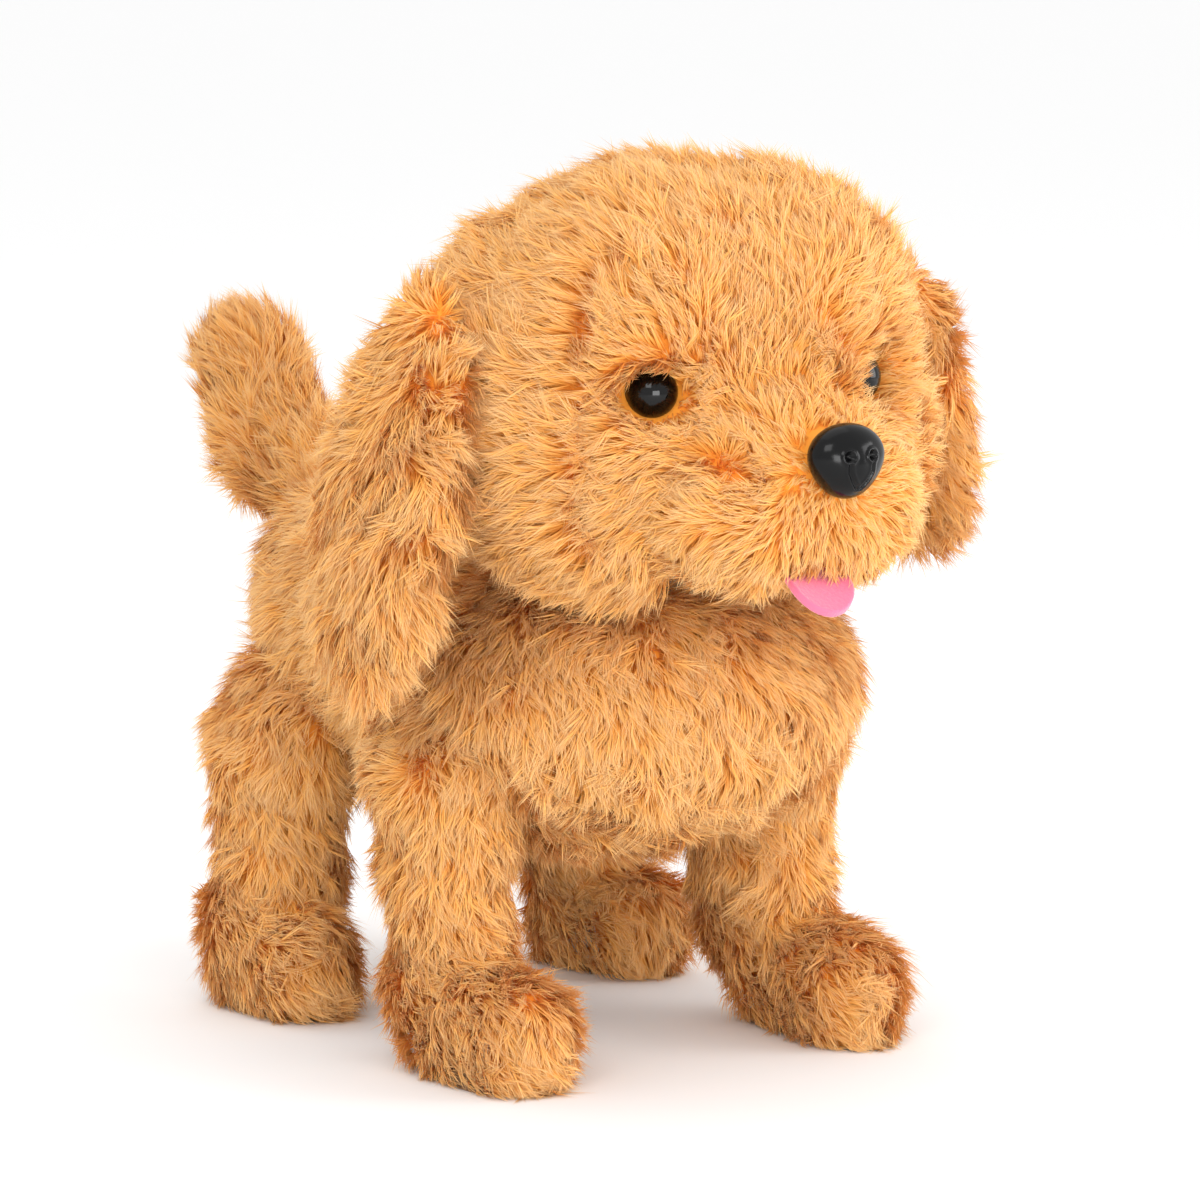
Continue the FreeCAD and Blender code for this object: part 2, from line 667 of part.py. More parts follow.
def tail_lever():
    """The upright tail shaft and the short lever that the tail rod turns it by."""
    z = TAIL_ROD_Z + 1.4
    hub = rod_z(z, z + 2.4, 0, TAIL_AXIS_Y, 3.2)
    arm = box(-TAIL_LEVER, 0, TAIL_AXIS_Y - 1.4, TAIL_AXIS_Y + 1.4, z, z + 2.4)
    end = rod_z(z, z + 2.4, -TAIL_LEVER, TAIL_AXIS_Y, 1.6)
    peg = rod_z(z - 3.0, z, -TAIL_LEVER, TAIL_AXIS_Y, PIN_R)
    shaft = rod_z(TOWER_FLOOR + 0.5, TOWER_ROOF + 4.2, 0, TAIL_AXIS_Y, AXLE_R)
    return fuse([shaft, hub, arm, end, peg])


def yoke_window(x0, x1, half_y, half_z):
    y, z = CRANK
    return box(x0, x1, y - half_y, y + half_y, z - half_z, z + half_z)


CAM_WINDOW = CAM_R + 0.1                    # across the window, where the cam pushes
CAM_RUN = CAM_R + CAM_THROW + 0.3           # along the window, where the cam runs free


def tail_rod():
    """The rod from the tail cam to the tail lever; it slides along y."""
    x0 = -CAM_ROD_OUT
    x1 = -CAM_ROD_IN
    y, z = CRANK
    yoke = box(x0, x1, y - 5.5, y + 5.5, z - 9, z + 7.3)
    bar = box(x0, x1, y - 5.5, TAIL_AXIS_Y - 3, TAIL_ROD_Z - 1, TAIL_ROD_Z + 1)
    pad = box(-7.2, -2.6, TAIL_AXIS_Y - 3.2, TAIL_AXIS_Y + 1.8, TAIL_ROD_Z - 1, TAIL_ROD_Z + 1)
    play = PIN_R + FIT
    slot = box(-TAIL_LEVER - play - 0.1, -TAIL_LEVER + play + 0.5,
               TAIL_AXIS_Y - play, TAIL_AXIS_Y + play, TAIL_ROD_Z - 2, TAIL_ROD_Z + 2)
    return cut(fuse([yoke, bar, pad]), [yoke_window(x0, x1, CAM_WINDOW, CAM_RUN), slot])


# ---- Neck and head --------------------------------------------------------------
POST_SCREW_Z = (72.0, 83.0)
POST_BACK = HOUSE_FRONT - 0.2
POST_FRONT = HEAD_Y - 4.5


def neck_post():
    """The upright on the housing's front wall that carries the head."""
    post = box(-7, 7, POST_FRONT, POST_BACK, 66, HEAD_Z)
    top = rod_x(-7, 7, HEAD_Y, HEAD_Z, 4.5)
    hollow = box(-4.6, 4.6, POST_FRONT - 1, POST_FRONT + 5.5, 92, HEAD_Z - 8)
    holes = [rod_x(-8, 8, HEAD_Y, HEAD_Z, AXLE_R + 0.03), hollow]
    for z in POST_SCREW_Z:
        holes += [rod_y(-70, -48, 0, z, 1.3), rod_y(-70, POST_FRONT + 3, 0, z, 2.6)]
    return cut(fuse([post, top]), holes)


def neck_pin():
    return rod_x(-13.5, 13.5, HEAD_Y, HEAD_Z, AXLE_R)


def nod_rod():
    """The rod from the nod cam up into the head; it slides along z."""
    x0 = CAM_ROD_IN
    x1 = CAM_ROD_OUT
    y, z = CRANK
    peg_y = HEAD_Y + NOD_LEVER
    yoke = box(x0, x1, peg_y - 2, y + 7.3, z - 5.5, z + 5.5)
    bar = box(x0, x1, peg_y - 2, peg_y + 2, z - 5.5, HEAD_Z)
    eye = box(x0, x1, peg_y - 3.2, peg_y + 3.2, HEAD_Z - 3, HEAD_Z + 3)
    play = PIN_R + FIT
    slot = box(x0, x1, peg_y - play - 0.5, peg_y + play + 0.1, HEAD_Z - play, HEAD_Z + play)
    return cut(fuse([yoke, bar, eye]), [yoke_window(x0, x1, CAM_RUN, CAM_WINDOW), slot])


def head_form(grow=0.0):
    return drum_x(Vector(0, HEAD_Y, HEAD_Z), HEAD_HALF_WIDTH + grow, HEAD_R + grow, HEAD_ROUND + grow)


def skull_form(grow=0.0):
    return drum_x(Vector(0, HEAD_Y, HEAD_Z), SKULL_HALF_WIDTH + grow, SKULL_R + grow, SKULL_ROUND + grow)


def neck_hole(half_x, half_y):
    """The way through the bottom of the head, wide enough for the post and rod as it nods."""
    return box(-half_x, half_x, HEAD_Y - half_y, HEAD_Y + half_y + 4, HEAD_Z - 60, HEAD_Z - 16)


EYE_AXIS = Vector(0.40, -0.91, 0.05).normalize()
EYE_SEAT = Vector(EYE_X, EYE_Y, EYE_Z)
NOSE_SEAT = Vector(0, NOSE_Y + 4.5, NOSE_Z)
SKULL_SCREWS = [(-20, 14), (0, 25), (22, 10)]     # from the middle of the head


def skull_half(side):
    """Half of the plastic skull, with its boss for the neck pin."""
    shell = skull_form().cut(skull_form(-SKULL_WALL))
    boss = rod_x(8.2, SKULL_HALF_WIDTH - 1, HEAD_Y, HEAD_Z, 4)
    parts = [shell, boss]
    if side == "left":
        peg_y = HEAD_Y + NOD_LEVER
        parts += [box(8.2, 10.4, HEAD_Y, peg_y + 1.6, HEAD_Z - 2.2, HEAD_Z + 2.2),
                  rod_x(CAM_ROD_IN - OPEN, 8.2, peg_y, HEAD_Z, PIN_R)]
    pillars = [rod_x(0, 33, HEAD_Y + dy, HEAD_Z + dz, 2.6) for dy, dz in SKULL_SCREWS]
    inside = skull_form(-0.5)
    half = fuse(parts + [p.common(inside) for p in pillars])
    half = half.common(box(0, 60, -120, 40, 60, 200))
    holes = [rod_x(8, 14, HEAD_Y, HEAD_Z, AXLE_R + FIT), neck_hole(13, 16),
             along(EYE_SEAT, EYE_AXIS, -20, 4, 7.0)]
    holes += [rod_y(-100, -80, 0, NOSE_Z, 7.0)]
    if side == "left":
        holes += [rod_x(0, 12, HEAD_Y + dy, HEAD_Z + dz, 1.2) for dy, dz in SKULL_SCREWS]
        return cut(half, holes)
    holes += [rod_x(0, 60, HEAD_Y + dy, HEAD_Z + dz, 1.35) for dy, dz in SKULL_SCREWS]
    holes += [rod_x(12, 60, HEAD_Y + dy, HEAD_Z + dz, 2.3) for dy, dz in SKULL_SCREWS]
    return mirrored(cut(half, holes))


def skull_screws():
    screws = []
    for dy, dz in SKULL_SCREWS:
        y = HEAD_Y + dy
        z = HEAD_Z + dz
        screws.append(fuse([rod_x(-13.8, -12.05, y, z, 2.1), rod_x(-12.1, 10, y, z, 1.1)]))
    return Part.makeCompound(screws)


MUZZLE_R = 21.0
MUZZLE_SIDE = Vector(10, 0, 0)
MUZZLE = Vector(0, -99.0, 119.5)


def muzzle_form():
    return tapered(MUZZLE - MUZZLE_SIDE, MUZZLE + MUZZLE_SIDE, MUZZLE_R, MUZZLE_R)


def head_plush():
    form = fuse([head_form(), muzzle_form()])
    tools = [skull_form(GAP), neck_hole(15, 19)]
    # the hollow of the muzzle, behind the nose
    tools += [rod_y(-108.5, -80, 0, NOSE_Z, 7.0)]
    tools += [along(NOSE_SEAT, Vector(0, -1, 0), -12, 1, 1.9)]
    tools += [rod_y(NOSE_Y - 8, NOSE_Y + 5.2, 0, NOSE_Z, NOSE_R + 0.2)]
    tools += [tongue(0.2)]
    recess_length = 16
    for flip in (False, True):
        recess = Part.makeCone(EYE_R + 0.3, EYE_R + 6, recess_length, EYE_SEAT - EYE_AXIS, EYE_AXIS)
        stem = along(EYE_SEAT, EYE_AXIS, -12, 0, 1.9)
        seat = along(EYE_SEAT, EYE_AXIS, -14, -8.8, 6.3)
        tools += [mirrored(t) if flip else t for t in (recess, stem, seat)]
    return cut(form, tools)


def eye():
    """The left eye: a glossy domed safety eye with its stem."""
    ball = Part.makeSphere(EYE_R, EYE_SEAT)
    front = along(EYE_SEAT, EYE_AXIS, -0.8, 8, 8)
    stem = along(EYE_SEAT, EYE_AXIS, -11.5, 0, 1.8)
    return fuse([ball.common(front), stem])


def washer(seat, axis, depth):
    """A lock washer on a stem, its outer face this deep behind the seat."""
    disc = along(seat, axis, -depth - 1.2, -depth, 6.0)
    return disc.cut(along(seat, axis, -14, 0, 1.82))


def stem_washers():
    eye_washer = washer(EYE_SEAT, EYE_AXIS, 9.0)
    nose_washer = washer(NOSE_SEAT, Vector(0, -1, 0), 6.8)
    return Part.makeCompound([eye_washer, mirrored(eye_washer), nose_washer])


def nose():
    """The moulded nose, with two nostrils and its stem."""
    centre = NOSE_SEAT + Vector(0, -4.5, 0)
    pad = rod_y(NOSE_Y - 5.2, NOSE_Y + 5.0, 0, NOSE_Z, NOSE_R)
    rims = [e for e in pad.Edges if isinstance(e.Curve, Part.Circle)]
    pad = pad.makeFillet(4.0, rims)
    stem = along(NOSE_SEAT, Vector(0, -1, 0), -10.5, 2, 1.8)
    shape = fuse([pad, stem])
    for x in (-2.9, 2.9):
        shape = shape.cut(Part.makeSphere(1.2, centre + Vector(x, -5.6, 0.6)))
    return shape


TONGUE_TOP = Vector(0, -103.5, 108.5)
TONGUE_SLOPE = 32.0


def tongue(grow=0.0):
    """A flat felt tongue that hangs forward and down out of the mouth."""
    half = 7.0 + grow
    flat = box(-half, half, -8.0, 6.0, -1.1 - grow, 1.1 + grow)
    tip = Part.makeCylinder(half, 2.2 + 2 * grow, Vector(0, -8.0, -1.1 - grow))
    shape = fuse([flat, tip])
    shape.rotate(Vector(0, 0, 0), Vector(1, 0, 0), TONGUE_SLOPE)
    shape.translate(TONGUE_TOP)
    return shape


# Sections down the ear: distance below its top, half thickness, half width
EAR_SECTIONS = [(0.0, 2.0, 9.0), (4.0, 5.5, 14.5), (14.0, 8.5, 19.0), (32.0, 9.5, 22.0),
                (54.0, 10.0, 23.5), (70.0, 9.0, 20.5), (80.0, 6.5, 14.0), (85.0, 2.5, 5.5)]
EAR_TOP = Vector(55.0, -57.0, 164.0)
EAR_SPLAY = -9.0
EAR_SWEEP = 7.0


def ear():
    """The left ear: a long padded ear, sewn along its top edge and hanging beside the head."""
    rings = [ellipse_ring(Vector(0, 0, -down), Vector(0, wide, 0), Vector(thick, 0, 0))
             for down, thick, wide in EAR_SECTIONS]
    shape = Part.makeLoft(rings, True, False)
    shape.rotate(Vector(0, 0, 0), Vector(1, 0, 0), EAR_SWEEP)
    shape.rotate(Vector(0, 0, 0), Vector(0, 1, 0), EAR_SPLAY)
    shape.translate(EAR_TOP)
    return shape.cut(head_form(0.8))


# ---- Body plush -------------------------------------------------------------------
# Sections from the chest to the rump: y, middle height, half width, half height
BODY_SECTIONS = [
    (-88.0, 69.0, 8.0, 6.0),
    (-84.0, 69.5, 24.0, 14.0),
    (-74.0, 70.0, 40.0, 22.5),
    (-56.0, 71.5, 50.0, 28.0),
    (-32.0, 75.5, 53.5, 33.0),
    (-5.0, 79.5, 54.0, 36.5),
    (22.0, 81.0, 52.0, 37.5),
    (44.0, 81.5, 48.5, 37.5),
    (60.0, 83.0, 39.0, 30.0),
    (68.0, 84.0, 25.0, 19.0),
    (71.5, 84.0, 9.0, 7.0),
]


def body_form():
    rings = [ellipse_ring(Vector(0, y, z), Vector(half_width, 0, 0), Vector(0, 0, half_height))
             for y, z, half_width, half_height in BODY_SECTIONS]
    return Part.makeLoft(rings, True, False)


def leg_room(end):
    """What the left leg sweeps as it swings, with room to spare."""
    centre = Vector(0, HIP_Y[end], HIP_Z)
    room = [rod_x(HOUSE_X + 0.2, PLATE_OUT + 1.6, HIP_Y[end], HIP_Z, 27.6)]
    form = leg_form(end, 1.0)
    for angle in (-LEG_SWING, LEG_SWING):
        room.append(turned(form, centre, Vector(1, 0, 0), angle))
    return room


def tail_room():
    """What the tail sweeps as it wags, with room to spare."""
    centre = Vector(0, TAIL_AXIS_Y, 0)
    room = [rod_z(TOWER_ROOF, TOWER_ROOF + 7, 0, TAIL_AXIS_Y, 5.0)]
    for angle in (-TAIL_WAG, 0, TAIL_WAG):
        for form in (tail_form(0.8), tail_arm(0.6)):
            room.append(turned(form, centre, Vector(0, 0, 1), angle))
    return room


def body_plush():
    """The sewn body cover and its padding, hollow for the housing and the moving parts."""
    room = [housing_form(-GAP)]
    room += [box(-18.0, 18.0, -35.0, 48.0, 30, HOUSE_FLOOR)]
    room += [box(-7.4, 7.4, POST_FRONT - GAP, HOUSE_FRONT, 65.7, 110)]
    room += [box(-11.0, 11.0, POST_FRONT - GAP, -38.0, HOUSE_LOW_ROOF, 110)]
    room += [head_form(1.0)]
    side = [box(HOUSE_X + 0.2, PLATE_OUT + 1.6, HIP_Y["front"], HIP_Y["rear"], 62, 72)]
    side += leg_room("front") + leg_room("rear")
    room += side + [mirrored(s) for s in side]
    room += tail_room()
    return cut(body_form(), room)


# ---- Write every node ---------------------------------------------------------------
def both_sides(name, left):
    """A node for each side, from the left one's shape."""
    return {name + "_left": left, name + "_right": mirrored(left)}


def leg_nodes(end):
    made = both_sides(end + "_frame", leg_frame(end))
    made.update(both_sides(end + "_leg_plush", leg_plush(end)))
    made.update(both_sides(end + "_sole", sole(end)))
    return made


def nodes():
    whole_housing = housing()
    made = {
        "body_plush": body_plush(),
        "housing_left": whole_housing.common(box(0, 40, -80, 90, 40, 110)),
        "housing_right": whole_housing.common(box(-40, 0, -80, 90, 40, 110)),
        "housing_screws": housing_screws(),
        "battery_box": battery_box(),
        "batteries": batteries(),
        "battery_contacts": battery_contacts(),
        "battery_door": battery_door(),
        "door_screw": door_screw(),
        "switch_body": switch_body(),
        "switch_knob": switch_knob(),
        "motor": motor(),
        "motor_pinion": motor_pinion(),
        "first_gear": first_gear(),
        "second_gear": second_gear(),
        "gear_pins": gear_pins(),
        "gear_plate": gear_plate(),
        "crankshaft": crankshaft(),
        "crank_gear": crank_gear(),
        "crank_discs": crank_discs(),
        "shaft_cams": shaft_cams(),
        "circuit_board": circuit_board(),
        "speaker_frame": speaker_frame(),
        "speaker_cone": speaker_cone(),
        "wire_leads": wire_leads(),
        "hip_axles": hip_axles(),
        "hip_clips": hip_clips(),
        "tail_plush": cut(tail_form(), [tail_arm(GAP)]),
        "tail_arm": tail_arm(),
        "tail_lever": tail_lever(),
        "tail_rod": tail_rod(),
        "neck_post": neck_post(),
        "neck_pin": neck_pin(),
        "nod_rod": nod_rod(),
        "head_plush": head_plush(),
        "skull_left": skull_half("left"),
        "skull_right": skull_half("right"),
        "skull_screws": skull_screws(),
        "stem_washers": stem_washers(),
        "nose": nose(),
        "tongue": tongue(),
    }
    made.update(both_sides("eye", eye()))
    made.update(both_sides("ear", ear()))
    made.update(both_sides("side_link", side_link()))
    for end in HIP_Y:
        made.update(leg_nodes(end))
    return made


def main():
    os.makedirs("parts", exist_ok=True)
    for name, shape in nodes().items():
        shape.exportStep("parts/" + name + ".step")


main()
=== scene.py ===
import json
import math

import bpy
import numpy as np
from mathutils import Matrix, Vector


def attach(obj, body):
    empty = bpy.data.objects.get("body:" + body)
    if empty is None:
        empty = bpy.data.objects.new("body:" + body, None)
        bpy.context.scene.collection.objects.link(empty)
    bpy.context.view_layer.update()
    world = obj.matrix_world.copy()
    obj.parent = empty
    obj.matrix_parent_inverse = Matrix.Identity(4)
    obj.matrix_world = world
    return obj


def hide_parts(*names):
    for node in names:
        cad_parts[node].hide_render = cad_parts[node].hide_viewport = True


# A walking plush puppy. Shapes below are in millimetres in the model's own frame, and
# become metres when a mesh is made. The puppy faces -y and its left side is +x.

MM = 0.001
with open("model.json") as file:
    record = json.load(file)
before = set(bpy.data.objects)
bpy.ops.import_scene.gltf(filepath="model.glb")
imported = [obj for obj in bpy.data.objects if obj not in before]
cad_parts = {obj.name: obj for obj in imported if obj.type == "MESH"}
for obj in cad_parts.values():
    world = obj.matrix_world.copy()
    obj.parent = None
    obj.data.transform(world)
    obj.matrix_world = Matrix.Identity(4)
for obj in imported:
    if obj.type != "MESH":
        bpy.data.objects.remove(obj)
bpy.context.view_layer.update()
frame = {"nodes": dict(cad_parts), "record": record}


def at(*xyz):
    return np.array(xyz, float)


def unit(v):
    return v / np.maximum(np.linalg.norm(v, axis=-1, keepdims=True), 1e-9)


# ---- Fields: below zero inside a shape, in mm ----------------------------------
def ball(p, centre, radii):
    q = (p - centre) / radii
    k0 = np.linalg.norm(q, axis=-1)
    k1 = np.maximum(np.linalg.norm(q / radii, axis=-1), 1e-9)
    return k0 * (k0 - 1) / k1


def limb(p, a, b, ra, rb):
    """A round limb from a to b."""
    way = b - a
    t = np.clip((p - a) @ way / (way @ way), 0, 1)
    return np.linalg.norm(p - a - t[:, None] * way, axis=-1) - (ra + (rb - ra) * t)


def block(p, lo, hi):
    """A box from its lowest to its highest corner."""
    q = np.abs(p - (lo + hi) / 2) - (hi - lo) / 2
    return np.linalg.norm(np.maximum(q, 0), axis=-1) + np.minimum(q.max(-1), 0)


def melt(a, b, k):
    """Both shapes, joined by a soft fillet of about k."""
    h = np.clip(0.5 + 0.5 * (b - a) / k, 0, 1)
    return b + (a - b) * h - k * h * (1 - h)


def carve(a, b, k=1.0):
    """Shape a without shape b."""
    return -melt(-a, b, k)


def waves(seed, size, count=7):
    """A smooth random field of three numbers, mostly within -1..1, with humps about this size."""
    rng = np.random.default_rng(seed)
    ways = unit(rng.normal(size=(3, count, 3))) * (2 * math.pi / size)
    ways = ways * rng.uniform(0.6, 1.4, (3, count, 1))
    phases = rng.uniform(0, 2 * math.pi, (3, count))

    def field(p):
        sums = [np.sin(p @ ways[i].T + phases[i]).sum(-1) for i in range(3)]
        return np.stack(sums, -1) / math.sqrt(count)

    return field


def slope(field, p, e=0.4):
    """The field's unit gradient, which is the surface's outward normal."""
    g = np.empty_like(p)
    for i in range(3):
        d = np.zeros(3)
        d[i] = e
        g[:, i] = field(p + d) - field(p - d)
    return unit(g)


CORNERS = [(i, j, k) for i in (0, 1) for j in (0, 1) for k in (0, 1)]


def surface(field, lo, hi, step):
    """The field's zero surface as points and quads, with one point in each cell that it crosses."""
    axes = [np.arange(lo[i], hi[i] + step, step) for i in range(3)]
    grid = np.stack(np.meshgrid(*axes, indexing="ij"), -1)
    f = field(grid.reshape(-1, 3)).reshape(grid.shape[:3])
    nx, ny, nz = (n - 1 for n in f.shape)
    inside = f < 0
    shares = sum(inside[i:i + nx, j:j + ny, k:k + nz].astype(int) for i, j, k in CORNERS)
    crossed = (shares > 0) & (shares < 8)
    total = np.zeros((nx, ny, nz, 3))
    count = np.zeros((nx, ny, nz))
    for a in CORNERS:
        for axis in range(3):
            if a[axis]:
                continue
            b = tuple(1 if n == axis else a[n] for n in range(3))
            fa = f[a[0]:a[0] + nx, a[1]:a[1] + ny, a[2]:a[2] + nz]
            fb = f[b[0]:b[0] + nx, b[1]:b[1] + ny, b[2]:b[2] + nz]
            hit = (fa < 0) != (fb < 0)
            t = np.where(hit, fa / np.where(hit, fa - fb, 1), 0)
            place = np.array(a, float)[None, None, None, :] + np.eye(3)[axis] * t[..., None]
            total += np.where(hit[..., None], place, 0)
            count += hit
    cells = np.argwhere(crossed)
    index = -np.ones((nx, ny, nz), int)
    index[crossed] = np.arange(len(cells))
    points = np.array(lo) + (cells + total[crossed] / count[crossed][:, None]) * step
    quads = []
    for axis in range(3):
        u, v = (axis + 1) % 3, (axis + 2) % 3
        low = [slice(None)] * 3
        high = [slice(None)] * 3
        low[axis], high[axis] = slice(0, -1), slice(1, None)
        a, b = inside[tuple(low)], inside[tuple(high)]
        for flip in (False, True):
            edges = np.argwhere((a & ~b) if not flip else (~a & b))
            edges = edges[(edges[:, u] > 0) & (edges[:, v] > 0)]
            edges = edges[(edges[:, u] < f.shape[u] - 1) & (edges[:, v] < f.shape[v] - 1)]
            ring = []
            for du, dv in ((0, 0), (-1, 0), (-1, -1), (0, -1)):
                c = edges.copy()
                c[:, u] += du
                c[:, v] += dv
                ring.append(index[c[:, 0], c[:, 1], c[:, 2]])
            ring = np.stack(ring, -1)
            quads.append(ring[:, ::-1] if flip else ring)
    quads = np.concatenate(quads)
    for _ in range(3):
        points -= field(points)[:, None] * slope(field, points)
    return points, quads


# ---- Meshes ---------------------------------------------------------------------
def make(name, points, faces, uvs=None, shading=None):
    """A mesh object from points in mm and arrays of faces, each array of one kind of face.

    uvs has a row for each point, and shading the normal that each point is lit by."""
    mesh = bpy.data.meshes.new(name)
    faces = [f for f in faces if len(f)]
    corners = np.concatenate([f.ravel() for f in faces])
    sizes = np.concatenate([np.full(len(f), f.shape[1]) for f in faces])
    mesh.vertices.add(len(points))
    mesh.vertices.foreach_set("co", (points * MM).astype(np.float32).ravel())
    mesh.loops.add(len(corners))
    mesh.loops.foreach_set("vertex_index", corners.astype(np.int32))
    mesh.polygons.add(len(sizes))
    starts = np.concatenate([[0], np.cumsum(sizes)[:-1]])
    mesh.polygons.foreach_set("loop_start", starts.astype(np.int32))
    mesh.polygons.foreach_set("use_smooth", np.full(len(sizes), True))
    mesh.update(calc_edges=True)
    if shading is not None:
        lit = mesh.attributes.new("custom_normal", "FLOAT_VECTOR", "POINT")
        lit.data.foreach_set("vector", shading.astype(np.float32).ravel())
    if uvs is not None:
        layer = mesh.uv_layers.new(name="OFBake")
        layer.data.foreach_set("uv", uvs[corners].astype(np.float32).ravel())
    obj = bpy.data.objects.new(name, mesh)
    bpy.context.scene.collection.objects.link(obj)
    return obj


TRIES = 3.2                              # points thrown for each cell, of which one stays
CELL = 0.92                              # a cell's size, as a share of the spacing


def spread_points(points, quads, field, spacing, rng, keep=None):
    """Evenly scattered points on a surface: about one in each cell of this size."""
    a, b, c, d = (points[quads[:, i]] for i in range(4))
    area = 0.5 * np.linalg.norm(np.cross(c - a, d - b), axis=-1)
    wanted = int(TRIES * area.sum() / spacing ** 2)
    pick = rng.choice(len(quads), wanted, p=area / area.sum())
    s, t = rng.random((2, wanted, 1))
    found = (a[pick] * (1 - s) + b[pick] * s) * (1 - t) + (d[pick] * (1 - s) + c[pick] * s) * t
    if keep is not None:
        found = found[keep(found)]
    cell = np.floor(found / (spacing * CELL)).astype(np.int64)
    # three large odd numbers mix a cell's place into one key
    key = (cell[:, 0] * 73856093) ^ (cell[:, 1] * 19349663) ^ (cell[:, 2] * 83492791)
    _, first = np.unique(key, return_index=True)
    found = found[np.sort(first)]
    return found - field(found)[:, None] * slope(field, found)


LEVELS = (0.0, 0.58, 1.0)                # how far along a hair its points are
WIDTHS = (1.0, 0.85, 0.0)                # and its width there
HAIR_WIDTH = 0.125                       # half of a hair's width at its root
HAIRS = 9                                # in each lock
LOCK_RADIUS = 0.95
CLUMP = 0.8                              # how far a lock's hairs meet at its tip
CURL = 0.30                              # how far locks bend to one side or the other
DROOP_ALONG, DROOP_DOWN = 0.35, 0.30     # how far they bend along the combing and to the skin
STRAY = 0.07                             # how far each hair leaves its lock
TWIST = 0.5                              # how far its ribbon is turned, in radians
LOOSE_SHARE = 0.3                        # of a lock's hairs, the last ones stand loose
LOOSE_LENGTH, LOOSE_CLUMP, LOOSE_STRAY = 0.8, 0.15, 2.2     # and differ by these factors
TONE_LEAST = 0.06                        # a lock's darkest tone, lighter than the backing
SOFTNESS = 0.15                          # how much a lock is lit as one soft tuft


def fur(roots, normals, comb, length, lean, rng):
    """Locks of hair on a skin: points, quads, tips, (tone, height) pairs and shading normals.

    comb is the way that a lock leans, lean how far it leans at its root, in degrees, and length
    its length. All are arrays with one row for each root."""
    n, hairs = len(roots), HAIRS
    comb = unit(comb - (comb * normals).sum(-1, keepdims=True) * normals)
    side = np.cross(normals, comb)
    lean = np.radians(lean)[:, None]
    start = np.cos(lean) * normals + np.sin(lean) * comb
    droop = DROOP_ALONG * comb - DROOP_DOWN * normals
    bend = rng.normal(size=(n, 1)) * side * CURL + droop
    tone = rng.uniform(TONE_LEAST, 1.0, n)
    spot = rng.random((n, hairs, 2))
    radius = np.sqrt(spot[..., 0])[..., None]
    angle = spot[..., 1][..., None] * 2 * math.pi
    around = radius * (np.cos(angle) * comb[:, None] + np.sin(angle) * side[:, None])
    loose = (np.arange(hairs) >= (1 - LOOSE_SHARE) * hairs)[None, :, None]
    reach = length[:, None] * rng.uniform(0.75, 1.08, (n, hairs))
    reach = reach * np.where(loose[..., 0], LOOSE_LENGTH, 1.0)
    clump = np.where(loose, LOOSE_CLUMP, 1.0) * CLUMP
    stray = rng.normal(size=(n, hairs, 3)) * np.where(loose, LOOSE_STRAY, 1.0) * STRAY
    twist = rng.normal(size=(n, hairs, 1)) * TWIST
    rows, lit = [], []
    tuft = SOFTNESS * (normals[:, None] + 0.5 * around)
    for t, w in zip(LEVELS, WIDTHS):
        run = reach[..., None] * t
        middle = roots[:, None] + LOCK_RADIUS * around * (1 - clump * t ** 0.8) + run * (
            start[:, None] + bend[:, None] * t + stray * t)
        way = unit(start[:, None] + 2 * bend[:, None] * t)
        across = unit(np.cross(way, normals[:, None]) + 1e-6)
        across = unit(across * np.cos(twist) + np.cross(way, across) * np.sin(twist))
        half = HAIR_WIDTH * w * rng.uniform(0.85, 1.15, (n, hairs, 1))
        face = unit(np.cross(across, np.broadcast_to(way, across.shape)) + tuft)
        rows += [middle - across * half, middle + across * half] if w else [middle]
        lit += [face, face] if w else [face]
    points = np.stack(rows, 2)
    per = points.shape[2]
    points = points.reshape(-1, 3)
    base = np.arange(n * hairs)[:, None] * per
    quads = base + np.array([0, 1, 3, 2])
    tips = base + np.array([2, 3, 4])
    height = np.array([0, 0, LEVELS[1], LEVELS[1], 1.0])
    uvs = np.stack([np.repeat(tone, hairs * per), np.tile(height, n * hairs)], -1)
    return points, quads, tips, uvs, np.stack(lit, 2).reshape(-1, 3)


# ---- Materials --------------------------------------------------------------------
def material(name, color, rough, metal=0.0, **sockets):
    """A new material, its node tree and its shader.

    In the name of a socket, an underscore stands for a space."""
    m = bpy.data.materials.new(name)
    m.use_nodes = True
    tree = m.node_tree
    shader = tree.nodes["Principled BSDF"]
    shader.inputs["Base Color"].default_value = (*color, 1)
    shader.inputs["Roughness"].default_value = rough
    shader.inputs["Metallic"].default_value = metal
    for socket, value in sockets.items():
        shader.inputs[socket.replace("_", " ")].default_value = value
    m.diffuse_color = (*color, 1)
    return m, tree, shader


def node(tree, kind, links=(), **values):
    """A new node, with its own settings or sockets set and its inputs linked."""
    made = tree.nodes.new(kind)
    for key, value in values.items():
        if hasattr(made, key):
            setattr(made, key, value)
        else:
            made.inputs[key.replace("_", " ")].default_value = value
    for socket, source in links:
        tree.links.new(source, made.inputs[socket])
    return made


def ramp(tree, source, stops):
    """A colour ramp on a source, from (place, colour) stops."""
    r = tree.nodes.new("ShaderNodeValToRGB")
    tree.links.new(source, r.inputs[0])
    while len(r.color_ramp.elements) < len(stops):
        r.color_ramp.elements.new(0.5)
    for element, (where, color) in zip(r.color_ramp.elements, stops):
        element.position = where
        element.color = (*color, 1)
    return r


